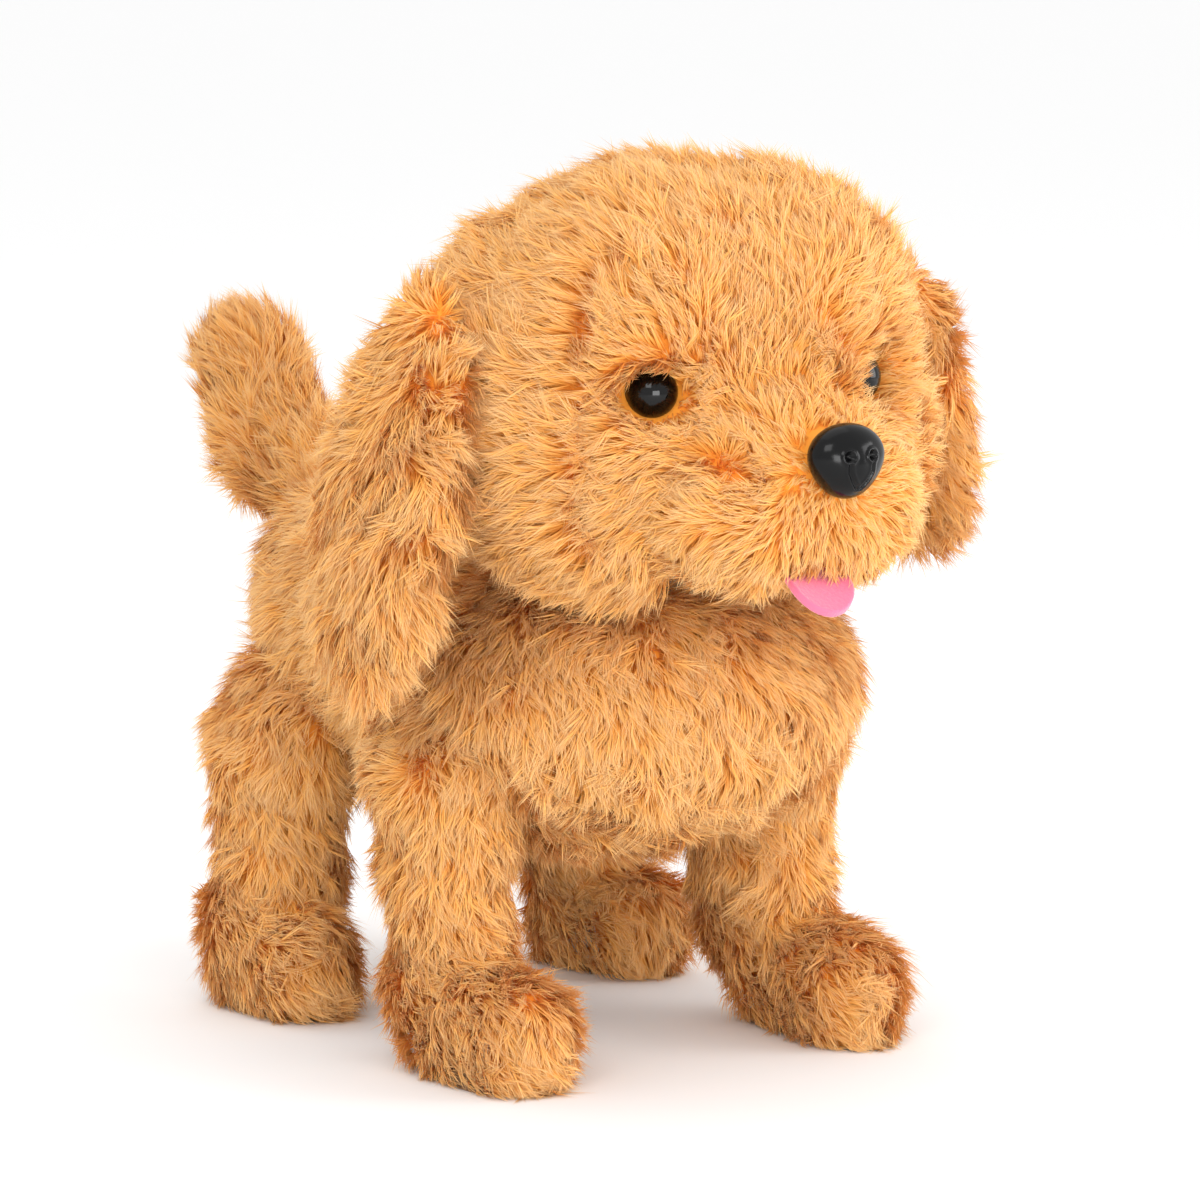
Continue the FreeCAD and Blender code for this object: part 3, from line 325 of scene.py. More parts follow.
# Painted light up each hair: deeper and darker toward the root as painted shade among the locks,
# kept bright orange there as painted light passing through the fibres, and paler toward the tip as
# a painted highlight.
ROOT = (0.96, 0.36, 0.045)               # a hair's colour at its root, and on up to its tip, with painted shade and highlight
LOW = (0.93, 0.43, 0.09)
HIGH = (0.89, 0.49, 0.155)
TIP = (0.90, 0.61, 0.32)
PAINTED_LIGHT_UP_HAIR = [(0.0, ROOT), (0.35, LOW), (0.7, HIGH), (1.0, TIP)]
BACKING = (0.36, 0.10, 0.028)            # the woven backing that shows in a seam
TONES = [(0.0, BACKING), (0.04, (0.94, 0.87, 0.79)), (0.5, (0.98, 0.96, 0.93)),
         (1.0, (1.0, 1.0, 1.0))]         # a lock's own tone, from dark to light


def pile_material():
    """Coloured by the layer OFBake: a lock's tone along U, and the height up its hairs along V,
    which sets the painted shade at the roots and the painted highlight at the tips.
    """
    m, tree, shader = material("golden_pile", (0.9, 0.55, 0.25), 0.62, Sheen_Weight=0.06,
                               Sheen_Roughness=0.5, Specular_IOR_Level=0.08)
    place = node(tree, "ShaderNodeUVMap", uv_map="OFBake")
    split = node(tree, "ShaderNodeSeparateXYZ", [(0, place.outputs[0])])
    up = ramp(tree, split.outputs["Y"], PAINTED_LIGHT_UP_HAIR)
    tone = ramp(tree, split.outputs["X"], TONES)
    mix = node(tree, "ShaderNodeMix", data_type="RGBA", blend_type="MULTIPLY")
    mix.inputs[0].default_value = 1.0
    tree.links.new(up.outputs[0], mix.inputs[6])
    tree.links.new(tone.outputs[0], mix.inputs[7])
    tree.links.new(mix.outputs[2], shader.inputs["Base Color"])
    return m


PILE = pile_material()


CLOUD_DARK = 0.86                        # the darkest of a plastic's cloudiness
SCRATCH_DARK = 0.8                       # and of a metal's scratches
GRAIN_DEPTH = 0.0003


def plastic(name, color, rough, grain=0.05, scale=900, **sockets):
    """Moulded plastic: faint cloudiness in its colour and a fine spark-eroded grain."""
    m, tree, shader = material(name, color, rough, **sockets)
    where = node(tree, "ShaderNodeTexCoord").outputs["Object"]
    cloud = node(tree, "ShaderNodeTexNoise", [("Vector", where)], Scale=60, Detail=3)
    dark = tuple(c * CLOUD_DARK for c in color)
    tint = ramp(tree, cloud.outputs[0], [(0.3, dark), (0.7, color)])
    tree.links.new(tint.outputs[0], shader.inputs["Base Color"])
    fine = node(tree, "ShaderNodeTexNoise", [("Vector", where)], Scale=scale, Detail=2)
    bump = node(tree, "ShaderNodeBump", [("Height", fine.outputs[0])], Strength=grain,
                Distance=GRAIN_DEPTH)
    tree.links.new(bump.outputs[0], shader.inputs["Normal"])
    return m


def metal(name, color, rough, brush=(1, 1, 1)):
    """Steel with fine scratches along its drawing or turning."""
    m, tree, shader = material(name, color, rough, metal=1.0)
    where = node(tree, "ShaderNodeTexCoord").outputs["Object"]
    drawn = node(tree, "ShaderNodeMapping", [("Vector", where)])
    drawn.inputs["Scale"].default_value = brush
    fine = node(tree, "ShaderNodeTexNoise", [("Vector", drawn.outputs[0])], Scale=700, Detail=4)
    dark = tuple(c * SCRATCH_DARK for c in color)
    tint = ramp(tree, fine.outputs[0], [(0.3, dark), (0.7, color)])
    tree.links.new(tint.outputs[0], shader.inputs["Base Color"])
    spread = node(tree, "ShaderNodeMapRange", [(0, fine.outputs[0])])
    spread.inputs["To Min"].default_value = rough * 0.75
    spread.inputs["To Max"].default_value = rough * 1.3
    tree.links.new(spread.outputs[0], shader.inputs["Roughness"])
    return m


# A look for each material slot of the record
LOOKS = {
    "plush": PILE,
    "housing_plastic": plastic("housing_plastic", (0.80, 0.79, 0.75), 0.45),
    "dark_plastic": plastic("dark_plastic", (0.035, 0.031, 0.03), 0.42),
    "screw_steel": metal("screw_steel", (0.62, 0.62, 0.64), 0.32),
    "battery_sleeve": plastic("battery_sleeve", (0.10, 0.12, 0.15), 0.25, grain=0.02),
    "spring_steel": metal("spring_steel", (0.78, 0.78, 0.80), 0.22),
    "motor_can": metal("motor_can", (0.68, 0.68, 0.70), 0.34, brush=(0.1, 1, 1)),
    "gear_plastic": plastic("gear_plastic", (0.90, 0.89, 0.84), 0.38),
    "axle_steel": metal("axle_steel", (0.74, 0.75, 0.77), 0.18, brush=(0.05, 1, 1)),
    "board_green": plastic("board_green", (0.03, 0.20, 0.09), 0.35, grain=0.1, scale=400),
    "speaker_paper": plastic("speaker_paper", (0.05, 0.05, 0.05), 0.85, grain=0.3),
    "lead_sleeve": plastic("lead_sleeve", (0.38, 0.03, 0.03), 0.4),
    "frame_plastic": plastic("frame_plastic", (0.86, 0.84, 0.78), 0.42),
    "washer_plastic": plastic("washer_plastic", (0.86, 0.86, 0.84), 0.4),
    "nose_plastic": plastic("nose_plastic", (0.003, 0.003, 0.0033), 0.16, grain=0.03,
                            Specular_IOR_Level=0.22),
    "tongue_felt": plastic("tongue_felt", (0.90, 0.17, 0.30), 0.95, grain=0.6, scale=1500,
                           Sheen_Weight=0.6),
    "eye_plastic": plastic("eye_plastic", (0.002, 0.0018, 0.0018), 0.03, grain=0.0,
                           Specular_IOR_Level=0.3),
    "sole_rubber": plastic("sole_rubber", (0.20, 0.10, 0.05), 0.7, grain=0.3, scale=500),
}
for row in frame["record"]["subparts"]:
    shown = frame["nodes"][row["node"]]
    shown.data.materials.clear()
    shown.data.materials.append(LOOKS[row["material_slot"]])


# ---- The puppy's forms -------------------------------------------------------------
# A form's ball is its centre and radii, and its block is its lowest and highest corners.
# Forms with an x above zero are those of the left side.
PILE_DEPTH = 5.0                         # the skin lies this far inside the pile's outer surface
BEYOND = 50.0                            # added where a seam isn't, so that it is far away

HEAD = at(0, -56, 141)
HEAD_FORM = [
    (at(0, -56, 142), at(54, 45, 44), 0),            # the skull
    (at(22, -64, 128), at(30, 34, 33), 12),          # cheeks, and the fillet that joins them
    (at(15, -74, 155), at(27, 25, 26), 12),          # brow
    (at(9, -99, 119.5), at(21, 21, 19), 8),          # jowls
    (at(0, -97, 128), at(17, 23.5, 15), 8),          # the muzzle's bridge
]
NECK_HOLE = (at(-16, -82, 60), at(16, -30, 124))
EYE = at(24.5, -87.5, 141.5)
EYE_HOLLOW = (at(27, -93.5, 142), at(7.6, 9, 7.6))
NOSE = at(0, -119, 130)
# The seam down the left side of the face, from its top
SEAM = [at(40, -84, 168), at(41.5, -83, 155), at(41.5, -83, 140), at(39.5, -83, 125),
        at(36, -82, 112)]
SEAM_INNER = 22.0                        # the face between the seams, to each side
SEAM_DEPTH, SEAM_WIDTH = 1.3, 1.2

EAR_TOP = at(55, -57, 164)
# Each ear hangs in its own way: its splay and sweep in degrees, and its share of the full length
EAR_POSE = {1: (14.0, 13.0, 0.79), -1: (9.0, 7.0, 1.0)}
EAR_DOWN = (-2, 4, 14, 32, 54, 70, 80, 86)           # places down the ear
EAR_WIDE = (3, 9, 14.5, 20.5, 23, 20.5, 14, 3)       # its half width there
EAR_THICK = (1, 6, 8.5, 9.2, 9.5, 8.5, 6, 1)         # and its half thickness
EAR_INSET = PILE_DEPTH * 0.8
EAR_ENDS = (2, 81)                       # down the ear, where its skin starts and ends
EAR_SEAM = (13, 27)                      # from here to here, on the ear's outer face
EAR_SEAM_Y, EAR_SEAM_SLANT = -3, 0.12

HIP_Y = {"front": -36.0, "rear": 38.0}
HIP_Z = 60
THIGH = {"front": at(39, -34.5, 60), "rear": at(36.8, 32.5, 58)}
THIGH_RADII = {"front": at(16, 24, 24), "rear": at(14.8, 21.5, 21.5)}
SHANK_TOP = {"front": at(39, -36, 54), "rear": at(38, 35.5, 54)}
ANKLE = {"front": at(39.5, -38.8, 22), "rear": at(39.5, 36.5, 22)}
# The shank is fuller by so much, inwards and on one side
SHANK_FULL = {"front": at(-2.5, 7.5, 0), "rear": at(-2.5, -4.0, 0)}
SHANK_R = (15.0, 13.6)                   # at its top and at the ankle
FULL_R = (14.6, 13.6)
HEEL = {"front": at(41, -41, 13), "rear": at(41, 34.5, 12.5)}
TOE = {"front": at(41, -62, 10.6), "rear": at(41, 20.5, 11.5)}
PAW_R = (16.0, 14.8)                     # at the heel and at the toe
PAW_LOW, PAW_FLAT = 12, 0.62             # below this height the paw is stretched by 1 / PAW_FLAT
SOLE_TOP = 1.6
LEG_INSIDE = 31                          # the leg's pile starts this far out, beside its plate
LEG_SWING = 12
LEG_ROOM = 3.5
PLATE_X = (22.5, 31.5)                   # what the legs' inner plates lie between
PLATE_R = 27                             # how far from the hip they reach
PLATE_HALF, PLATE_SPREAD = 6, 0.25       # its half width at the hip, and the growth from there
LINK_Z = (62, 72)

TAIL = [at(0, 73, 101), at(0, 98, 110), at(0, 110, 127.3)]
TAIL_R = (10.8, 14.8, 14.2)
TAIL_ROOT = (at(0, 62, 104), at(15.5, 14, 9.5))
TAIL_AXIS = at(0, 55, 0)
TAIL_WAG = 18
TAIL_ROOM = 4

CHEST = (at(0, -40, 74.5), at(51, 47.5, 33))
BARREL = (at(0, 18, 82), at(46.5, 52, 38))
BELLY = (at(-18, -46, 51), at(18, 49.5, 76))         # the cover under and behind the housing
BELLY_ROUND = 4.6
HEAD_ROOM = at(50, 47, 47)
HOUSING_ROOM = (at(-22.5, -52, 49.3), at(22.5, 50.5, 97))
BELLY_HOLE = (at(-18, -35, 20), at(18, 48, 60))      # round the battery door and the switch
NECK_ROOM = (at(-8, -62, 60), at(8, -50, 120))


def from_seam(p):
    """How far a point is from the face's side seam, and how far behind the seam it is."""
    flat = at(0, 1, 1)
    line = [a * flat for a in SEAM]
    far = np.min([limb(p * flat, a, b, 0, 0) for a, b in zip(line, line[1:])], axis=0)
    far = far + np.where(np.abs(p[:, 0]) < SEAM_INNER, BEYOND, 0)
    heights, places = [a[2] for a in SEAM[::-1]], [a[1] for a in SEAM[::-1]]
    return far, p[:, 1] - np.interp(p[:, 2], heights, places)


def head_field(p):
    """The head, with the neck's hole, the face's seams and a hollow for each eye."""
    q = p.copy()
    q[:, 0] = np.abs(q[:, 0])
    f = ball(q, *HEAD_FORM[0][:2])
    for centre, radii, fillet in HEAD_FORM[1:]:
        f = melt(f, ball(q, centre, radii), fillet)
    f = f + PILE_DEPTH
    f = carve(f, block(q, *NECK_HOLE), 3)
    f = f + SEAM_DEPTH * np.exp(-(from_seam(q)[0] / SEAM_WIDTH) ** 2)
    return carve(f, ball(q, *EYE_HOLLOW), 4)


def ear_frame(p, side):
    """A point's place in a left ear: across its thickness, across its width, and down.

    The side says whose pose it hangs in."""
    splay, sweep, share = EAR_POSE[side]
    q = p - EAR_TOP
    a = math.radians(splay)
    x = q[:, 0] * math.cos(a) + q[:, 2] * math.sin(a)
    z = -q[:, 0] * math.sin(a) + q[:, 2] * math.cos(a)
    b = math.radians(-sweep)
    y = q[:, 1] * math.cos(b) - z * math.sin(b)
    z = q[:, 1] * math.sin(b) + z * math.cos(b)
    return x, y, -z / share


def ear_field(p, side):
    x, y, down = ear_frame(p, side)
    wide = np.maximum(np.interp(down, EAR_DOWN, EAR_WIDE) - EAR_INSET, 1.0)
    thick = np.maximum(np.interp(down, EAR_DOWN, EAR_THICK) - EAR_INSET, 0.6)
    across = np.hypot(x / thick, y / wide)
    steep = np.hypot(x / thick ** 2, y / wide ** 2)
    f = across * (across - 1) / np.maximum(steep, 1e-6)
    return np.maximum(f, np.maximum(EAR_ENDS[0] - down, down - EAR_ENDS[1]))


def leg_field(p, end):
    """A left leg."""
    top, ankle, full, hip = SHANK_TOP[end], ANKLE[end], SHANK_FULL[end], HIP_Y[end]
    f = ball(p, THIGH[end], THIGH_RADII[end])
    f = melt(f, limb(p, top, ankle, *SHANK_R), 8)
    f = melt(f, limb(p, top + full, ankle + full, *FULL_R), 6)
    low = p.copy()
    low[:, 2] = np.where(p[:, 2] < PAW_LOW, PAW_LOW + PAW_FLAT * (p[:, 2] - PAW_LOW), p[:, 2])
    f = melt(f, limb(low, HEEL[end], TOE[end], *PAW_R), 6)
    f = np.maximum(f + PILE_DEPTH, SOLE_TOP - p[:, 2])
    return carve(f, block(p, at(0, hip - 40, 46), at(LEG_INSIDE, hip + 40, 100)), 1)


def tail_field(p):
    f = limb(p, TAIL[0], TAIL[1], *TAIL_R[:2])
    f = melt(f, ball(p, *TAIL_ROOT), 4)
    return melt(f, limb(p, TAIL[1], TAIL[2], *TAIL_R[1:]), 4) + PILE_DEPTH


def turned(p, centre, axis, degrees):
    """Points turned about an axis of the model's frame through a centre."""
    i, j = (axis + 1) % 3, (axis + 2) % 3
    c, d = math.cos(math.radians(degrees)), math.sin(math.radians(degrees))
    q = p.copy()
    u, v = p[:, i] - centre[i], p[:, j] - centre[j]
    q[:, i], q[:, j] = centre[i] + c * u - d * v, centre[j] + d * u + c * v
    return q


def leg_room(p):
    """What the legs, their inner plates and the links sweep, for the body to keep clear of."""
    q = p.copy()
    q[:, 0] = np.abs(q[:, 0])
    inner, outer = PLATE_X
    room = [block(q, at(inner, HIP_Y["front"], LINK_Z[0]), at(outer, HIP_Y["rear"], LINK_Z[1]))]
    for end in HIP_Y:
        hip = at(0, HIP_Y[end], HIP_Z)
        swing = np.abs(q[:, 1] - HIP_Y[end]) - PLATE_HALF - PLATE_SPREAD * np.abs(q[:, 2] - HIP_Z)
        plates = np.maximum(np.linalg.norm(q[:, 1:] - hip[1:], axis=-1) - PLATE_R, swing)
        room.append(np.maximum(plates, np.maximum(inner - q[:, 0], q[:, 0] - outer)))
        for angle in (-LEG_SWING, 0, LEG_SWING):
            room.append(leg_field(turned(q, hip, 0, angle), end) - LEG_ROOM)
    return np.maximum(np.min(room, axis=0), inner - q[:, 0])


def tail_room(p):
    """What the tail sweeps."""
    swept = [tail_field(turned(p, TAIL_AXIS, 2, angle)) for angle in (-TAIL_WAG, 0, TAIL_WAG)]
    return np.min(swept, axis=0) - TAIL_ROOM


def body_form(p):
    """The body's outside, before anything is cut from it."""
    f = melt(ball(p, *CHEST), ball(p, *BARREL), 14) + PILE_DEPTH
    return melt(f, block(p, *BELLY) - BELLY_ROUND, 5)


def body_field(p):
    f = carve(body_form(p), leg_room(p), 2)
    f = carve(f, ball(p, HEAD, HEAD_ROOM), 2)
    for room in (HOUSING_ROOM, BELLY_HOLE, NECK_ROOM):
        f = carve(f, block(p, *room), 1)
    return carve(f, tail_room(p), 1)


def body_outside(p):
    """Where the body's pile grows: not in the pockets, the neck or the belly's opening."""
    lo, hi = BELLY_HOLE
    margin = 0.5
    open_belly = (np.abs(p[:, 0]) < hi[0] + margin) & (p[:, 2] < hi[2])
    open_belly &= (p[:, 1] > lo[1] - margin) & (p[:, 1] < hi[1] + margin)
    return (np.abs(body_form(p)) < 2.2) & ~open_belly


def mirror(points):
    return points * at(-1, 1, 1)


# ---- Growing the pile on each form -----------------------------------------------------
# Random fields: each one's offset from the piece's seed, and the size of its humps in mm
LUMPS = (50, 22)                         # unevenness of the padding
SWIRLS = (90, 15)                        # unevenness of the combing
TUFTS = (130, 6)                         # unevenness of the pile's length and lean
PATCHES = (7, 2.2)                       # where a seam's backing shows
LUMP_DEPTH = 0.9
SWIRL = 0.5
TUFT_LENGTH, LENGTH_NOISE = 0.16, 0.05   # shares of a hair's length
TUFT_LEAN, LEAN_NOISE = 13, 6            # degrees
SKIN_TONE = (0.5, 0.0)                   # the skin between the locks: a middle tone, at the root, so it takes the root's painted shade
LOWEST = 0.3                             # no hair goes below this height


def plush(name, field, lo, hi, body, nodes, comb, length, lean, spacing=1.3, seed=1, side=1,
          grows=None, step=2.0, seam=None):
    """One plush piece: its skin and its pile in one mesh. Along a seam the dark backing shows."""
    rng = np.random.default_rng(seed)
    lumps, swirls, tufts, patches = (waves(seed + offset, size)
                                     for offset, size in (LUMPS, SWIRLS, TUFTS, PATCHES))

    def skin(p):
        return field(p) + LUMP_DEPTH * lumps(p)[:, 0]

    points, quads = surface(skin, lo, hi, step)
    roots = spread_points(points, quads, skin, spacing, rng, grows)
    normals = slope(skin, roots)
    tuft = tufts(roots)
    way = comb(roots, normals) + SWIRL * swirls(roots)
    long = 1 + TUFT_LENGTH * tuft[:, 0] + rng.normal(size=len(roots)) * LENGTH_NOISE
    # where the combing turns about a point, the hair there stands up and covers its roots
    along = np.linalg.norm(way - (way * normals).sum(-1, keepdims=True) * normals, axis=-1)
    tilt = lean + TUFT_LEAN * tuft[:, 1] + rng.normal(size=len(roots)) * LEAN_NOISE
    tilt = tilt * np.clip(along / 0.8, 0.25, 1)
    hairs, hair_quads, hair_tips, hair_uvs, hair_shading = fur(
        roots, normals, way, length(roots) * long, tilt, rng)
    hairs[:, 2] = np.maximum(hairs[:, 2], LOWEST)
    tones = np.tile(SKIN_TONE, (len(points), 1))
    if seam:
        tones[(seam(points) < 1.1) & (patches(points)[:, 0] > -0.2), 0] = 0.0
    shift = len(points)
    faces = [quads, hair_quads + shift, hair_tips + shift]
    shading = np.concatenate([slope(skin, points), hair_shading])
    points = np.concatenate([points, hairs])
    uvs = np.concatenate([tones, hair_uvs])
    if side < 0:
        points, shading = mirror(points), mirror(shading)
        faces = [f[:, ::-1] for f in faces]
    obj = make(name, points, faces, uvs, shading)
    obj.data.materials.append(PILE)
    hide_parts(*nodes)
    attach(obj, body)
    print(name, "locks", len(roots), "faces", len(obj.data.polygons))


def even(mm):
    """The same length of hair all over."""
    return lambda p: np.full(len(p), float(mm))


def from_eye(p):
    """How far a point is from the nearer eye, and the way out from it."""
    q = p.copy()
    q[:, 0] = np.abs(q[:, 0])
    way = q - EYE
    far = np.linalg.norm(way, axis=-1)
    way[:, 0] *= np.sign(p[:, 0])
    return far, way / far[:, None]


def from_nose(p):
    return np.linalg.norm(p - NOSE, axis=-1)


def head_grows(p):
    """Not under an eye, the nose or the tongue, nor in the neck."""
    neck = (np.abs(p[:, 0]) < 17) & (p[:, 1] > -83) & (p[:, 1] < -29) & (p[:, 2] < 126)
    mouth = (np.abs(p[:, 0]) < 6) & (p[:, 1] < -98) & (np.abs(p[:, 2] - 107.5) < 2)
    nose = (np.hypot(p[:, 0], p[:, 2] - 129.5) < 5.5) & (p[:, 1] < -100)
    return (from_eye(p)[0] > 6.0) & (from_seam(p)[0] > 0.45) & ~nose & ~neck & ~mouth


def head_comb(p, n):
    """Away from the nose, down on the jowls, back on the crown, and parted along the seams."""
    away = unit(p - (NOSE + at(0, 6, -4)))
    down = np.clip((128 - p[:, 2]) / 25, 0, 1)[:, None] * at(0, 0, -1)
    up = np.clip((p[:, 2] - 150) / 25, 0, 1)[:, None] * at(0, 0.6, 0)
    far, out = from_eye(p)
    gap, behind = from_seam(p)
    part = (1.2 * np.sign(behind) * np.exp(-(gap / 5.0) ** 2))[:, None] * at(0, 1, 0)
    # hair leaves the eye's rim, but overhangs it from the brow
    rim = 2.2 * np.exp(-np.maximum(far - 7, 0) / 3.0) * np.where(out[:, 2] > 0.3, 0.2, 1.0)
    return away + 0.8 * down + up + part + rim[:, None] * out


def head_length(p):
    """Short round the nose and the eyes, and longest on the crown and cheeks."""
    near = from_nose(p)
    eye = np.clip((from_eye(p)[0] - 6) / 10, 0, 1)
    muzzle = 3.2 + 2.6 * np.clip((near - 8) / 8, 0, 1)
    return (muzzle + 2.6 * np.clip((near - 14) / 32, 0, 1)) * (0.6 + 0.4 * eye)


def ear_seam(p, side):
    """How far a point is from the ear's short seam, on its outer face."""
    x, y, down = ear_frame(p, side)
    reach = np.clip(down, *EAR_SEAM)
    middle = EAR_SEAM_Y + EAR_SEAM_SLANT * (reach - EAR_SEAM[0])
    return np.hypot(y - middle, down - reach) + np.where(x < 0, BEYOND, 0)


def ear_comb(side):
    """Outwards from the seam on the ear's upper half, and down below it."""
    def comb(p, n):
        _, y, down = ear_frame(p, side)
        reach = np.clip(down, *EAR_SEAM)
        middle = EAR_SEAM_Y + EAR_SEAM_SLANT * (reach - EAR_SEAM[0])
        out = np.stack([0 * y, y - middle, reach - down], -1)
        out = out / (np.linalg.norm(out, axis=-1, keepdims=True) + 7)
        return out + at(0, 0, -0.25)
    return comb


def ear_length(side):
    """Longer down the ear."""
    return lambda p: 5.5 + 3.0 * np.clip((ear_frame(p, side)[2] - 4) / 22, 0, 1)


def leg_comb(p, n):
    """Down the leg, and forward over the paw."""
    low = np.clip((34 - p[:, 2]) / 14, 0, 1)[:, None]
    return at(0, 0, -1) + low * at(0, -1.3, 0.35)


def tail_comb(p, n):
    return at(0, 0.75, 0.65) + 0 * p


def body_comb(p, n):
    """Forward and down on the chest, and back and down behind it."""
    back = np.clip((p[:, 1] + 45) / 30, 0, 1)[:, None]
    return (1 - back) * at(0, -0.7, -1) + back * at(0, 0.9, -0.8) + p * at(0.015, 0, 0)


plush("head_pile", head_field, (-60, -125, 88), (60, -6, 194), "head", ["head_plush"],
      head_comb, head_length, 40, seed=11, grows=head_grows, seam=lambda p: from_seam(p)[0])
for side, word in ((1, "left"), (-1, "right")):
    plush("ear_pile_" + word, lambda p, s=side: ear_field(p, s), (35, -95, 70), (92, -15, 170),
          "ear_l" if side > 0 else "ear_r", ["ear_" + word], ear_comb(side), ear_length(side), 44,
          seed=21 + side, side=side, step=1.6, grows=lambda p, s=side: ear_seam(p, s) > 0.7,
          seam=lambda p, s=side: ear_seam(p, s))
    for end, y0, y1, seed in (("front", -90, 0, 31), ("rear", 5, 70, 36)):
        plush(end + "_leg_pile_" + word, lambda p, e=end: leg_field(p, e),
              (14, y0, 0), (66, y1, 92), end + "_leg_" + word, [end + "_leg_plush_" + word],
              leg_comb, even(7.5), 40, seed=seed + side, side=side)
plush("tail_pile", tail_field, (-22, 55, 82), (22, 130, 150), "tail", ["tail_plush"],
      tail_comb, even(8.5), 42, seed=41)
plush("body_pile", body_field, (-62, -95, 34), (62, 78, 124), "body", ["body_plush"],
      body_comb, even(8.0), 42, seed=51, grows=body_outside)


# ---- Eyes, nose and tongue ----------------------------------------------------------------
def solid(name, field, lo, hi, step, look, body, cad_node, side=1):
    """A hard or felt piece in the place of a CAD node."""
    points, quads = surface(field, lo, hi, step)
    if side < 0:
        points, quads = mirror(points), quads[:, ::-1]
    obj = make(name, points, [quads])
    obj.data.materials.append(LOOKS[look])
    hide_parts(cad_node)
    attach(obj, body)


STEM_R = 1.8
EYE_R = 5.2
EYE_WAY = unit(at(0.40, -0.91, 0.05))


def eye_field(p):
    """A domed eye with a thin rim, and its stem."""
    q = p - EYE
    deep = q @ EYE_WAY
    out = np.linalg.norm(q - deep[:, None] * EYE_WAY, axis=-1)
    dome = np.maximum(np.hypot(out, deep * 1.04) - EYE_R, -0.8 - deep)
    rim = np.hypot(np.maximum(out - 5.0, 0), np.maximum(np.abs(deep + 0.5) - 0.2, 0)) - 0.35
    stem = np.maximum(out - STEM_R, np.maximum(-11.5 - deep, deep))
    return np.minimum(np.minimum(dome, rim), stem)


NOSTRIL = at(2.7, 0, 1.0)
GROOVE = [at(2.7, 0, -0.5), at(2.6, 0, -2.2), at(1.6, 0, -4.0), at(0.5, 0, -5.3)]


def nose_field(p):
    """The moulded nose: broad at its top, with ringed nostrils and a curved groove below each."""
    q = p - NOSE
    f = ball(q, at(0, 0.3, 0.6), at(8.4, 5.4, 6.4))
    f = melt(f, ball(q, at(0, 0.6, -2.2), at(5.4, 5.2, 5.6)), 3)
    front = q[:, 1] < 0
    flat = q * at(1, 0, 1)
    flat[:, 0] = np.abs(flat[:, 0])
    r = np.linalg.norm(flat - NOSTRIL, axis=-1)
    line = np.min([limb(flat, a, b, 0, 0) for a, b in zip(GROOVE, GROOVE[1:])], axis=0)
    relief = 0.9 * np.exp(-(r / 0.75) ** 2) - 0.3 * np.exp(-((r - 1.35) / 0.3) ** 2)
    relief += 0.35 * np.exp(-(line / 0.3) ** 2) - 0.16 * np.exp(-((line - 0.65) / 0.3) ** 2)
    f = f + np.where(front, relief, 0)
    stem = np.maximum(np.hypot(q[:, 0], q[:, 2]) - STEM_R, np.maximum(-q[:, 1], q[:, 1] - 14.5))
    return np.minimum(f, stem)


TONGUE_TOP = at(0, -103.5, 108.5)
TONGUE_SLOPE = math.radians(32)
TONGUE_HALF = 6.7                        # half its width, and the radius of its round tip
TONGUE_ROOT, TONGUE_LENGTH = -6.0, 8.0   # where its straight sides start and end
FELT_HALF, FELT_ROUND = 0.5, 0.35        # half its thickness, and its rounding on top of that
CUP, CURL_DOWN = 0.02, 0.006


def tongue_field(p):
    """A felt tongue, a little cupped along its middle and curled down at its tip."""
    q = p - TONGUE_TOP
    along = -q[:, 1] * math.cos(TONGUE_SLOPE) - q[:, 2] * math.sin(TONGUE_SLOPE)
    up = -q[:, 1] * math.sin(TONGUE_SLOPE) + q[:, 2] * math.cos(TONGUE_SLOPE)
    x = np.abs(q[:, 0])
    tip = np.hypot(x, np.maximum(along - TONGUE_LENGTH, 0)) - TONGUE_HALF
    edge = np.maximum(tip, TONGUE_ROOT - along)
    up = up - CUP * x ** 2 + 0.5 + CURL_DOWN * np.maximum(along, 0) ** 2
    face = np.abs(up) - FELT_HALF
    outside = np.hypot(np.maximum(edge, 0), np.maximum(face, 0))
    return outside + np.minimum(np.maximum(edge, face), 0) - FELT_ROUND


for side, word in ((1, "left"), (-1, "right")):
    solid("eye_dome_" + word, eye_field, (14, -96, 133), (34, -74, 150), 0.3,
          "eye_plastic", "head", "eye_" + word, side)
solid("nose_pad", nose_field, (-9, -125.5, 120), (9, -103, 138), 0.25,
      "nose_plastic", "head", "nose")
solid("felt_tongue", tongue_field, (-8, -120, 96), (8, -96, 114), 0.35,
      "tongue_felt", "head", "tongue")

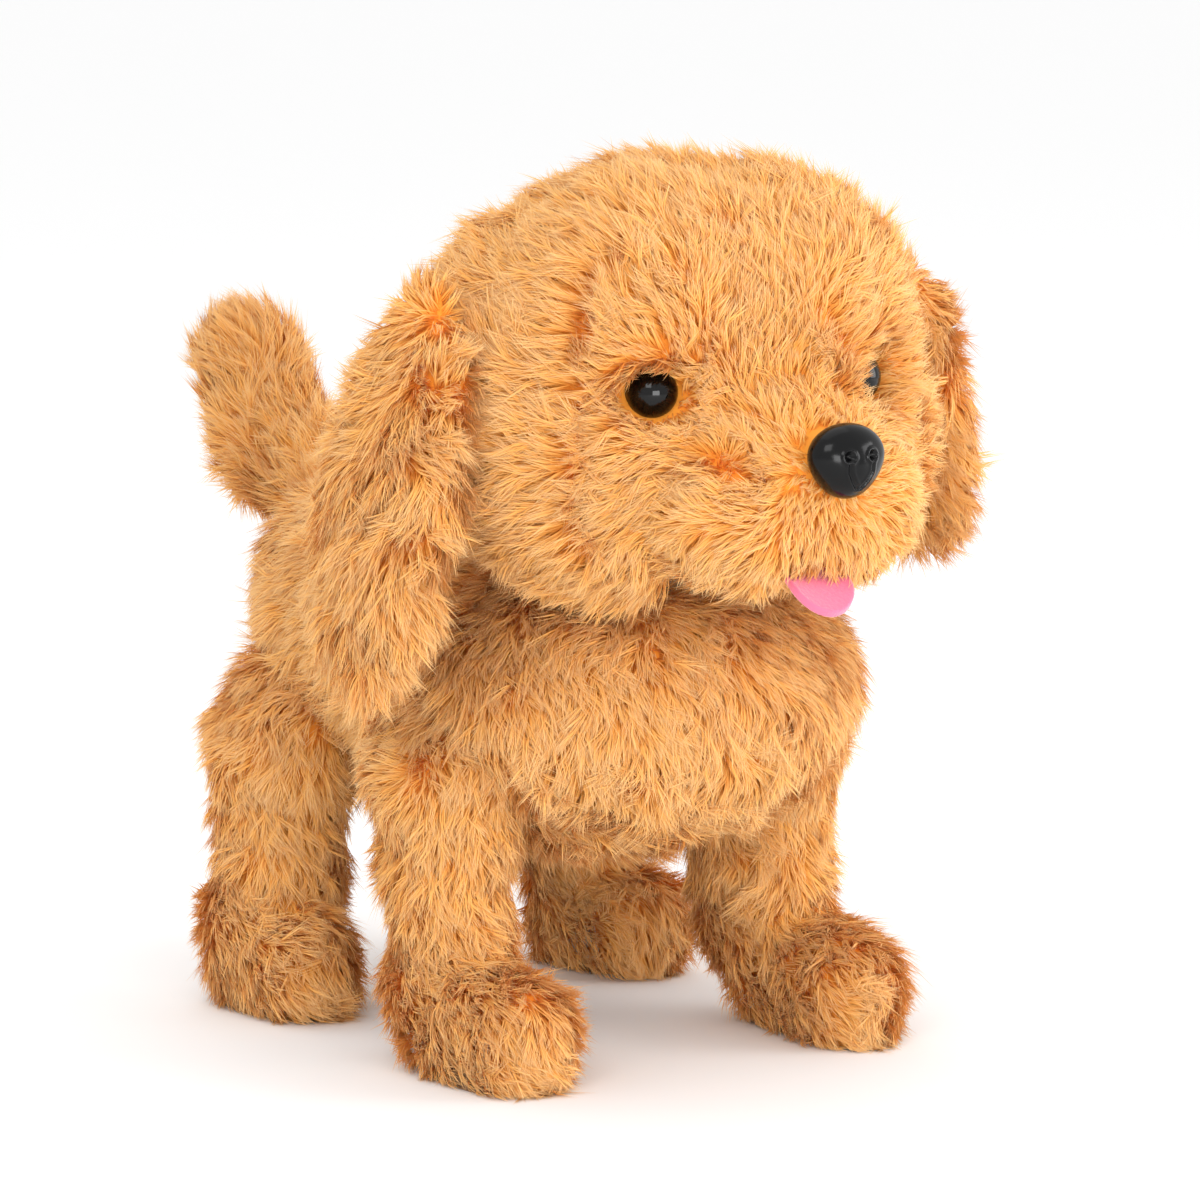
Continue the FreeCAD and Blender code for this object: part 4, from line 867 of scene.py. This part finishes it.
# ---- Floor, light and camera ----------------------------------------------------------
FLOOR = 12                               # metres to each side, so that its edge is out of sight
floor_mesh = bpy.data.meshes.new("floor")
floor_mesh.from_pydata([(-FLOOR, -FLOOR, 0), (FLOOR, -FLOOR, 0), (FLOOR, FLOOR, 0),
                        (-FLOOR, FLOOR, 0)], [], [(0, 1, 2, 3)])
floor = bpy.data.objects.new("floor", floor_mesh)
bpy.context.scene.collection.objects.link(floor)
floor_mesh.materials.append(material("pale_floor", (0.97, 0.97, 0.97), 0.8)[0])

world = bpy.data.worlds.new("studio")
bpy.context.scene.world = world
world.use_nodes = True
world.node_tree.nodes["Background"].inputs[0].default_value = (1, 1, 1, 1)
world.node_tree.nodes["Background"].inputs[1].default_value = 1.0
bpy.context.scene.view_settings.view_transform = "Standard"


def area_light(name, place, target, size, power):
    """A rectangular lamp at a place in metres that shines at a target."""
    data = bpy.data.lights.new(name, "AREA")
    data.shape = "RECTANGLE"
    data.size, data.size_y = size
    data.energy = power
    lamp = bpy.data.objects.new(name, data)
    lamp.location = place
    lamp.rotation_euler = (Vector(target) - Vector(place)).to_track_quat("-Z", "Y").to_euler()
    bpy.context.scene.collection.objects.link(lamp)


area_light("key", (-0.75, -0.75, 0.85), (0, 0, 0.09), (0.5, 0.5), 3.2)
area_light("fill", (0.9, -0.7, 0.35), (0, 0, 0.09), (0.6, 0.6), 5)
area_light("low", (-0.3, -1.2, 0.15), (0, 0, 0.08), (0.6, 0.4), 6)
area_light("top", (0, 0.2, 1.1), (0, 0, 0.09), (0.9, 0.9), 1.2)

# The photograph's angle, with the long lens that its flat perspective asks for
AZIMUTH, ELEVATION, DISTANCE = math.radians(-33.3), math.radians(8.5), 1.371
LOOK_AT = Vector((0, -0.0318, 0.0914))
level = math.cos(ELEVATION)
back = Vector((math.sin(AZIMUTH) * level, -math.cos(AZIMUTH) * level, math.sin(ELEVATION)))
camera_data = bpy.data.cameras.new("camera")
camera_data.lens = 200
camera_data.sensor_width = 36
camera = bpy.data.objects.new("camera", camera_data)
camera.location = LOOK_AT + back * DISTANCE
camera.rotation_euler = (-back).to_track_quat("-Z", "Y").to_euler()
bpy.context.scene.collection.objects.link(camera)
bpy.context.scene.camera = camera
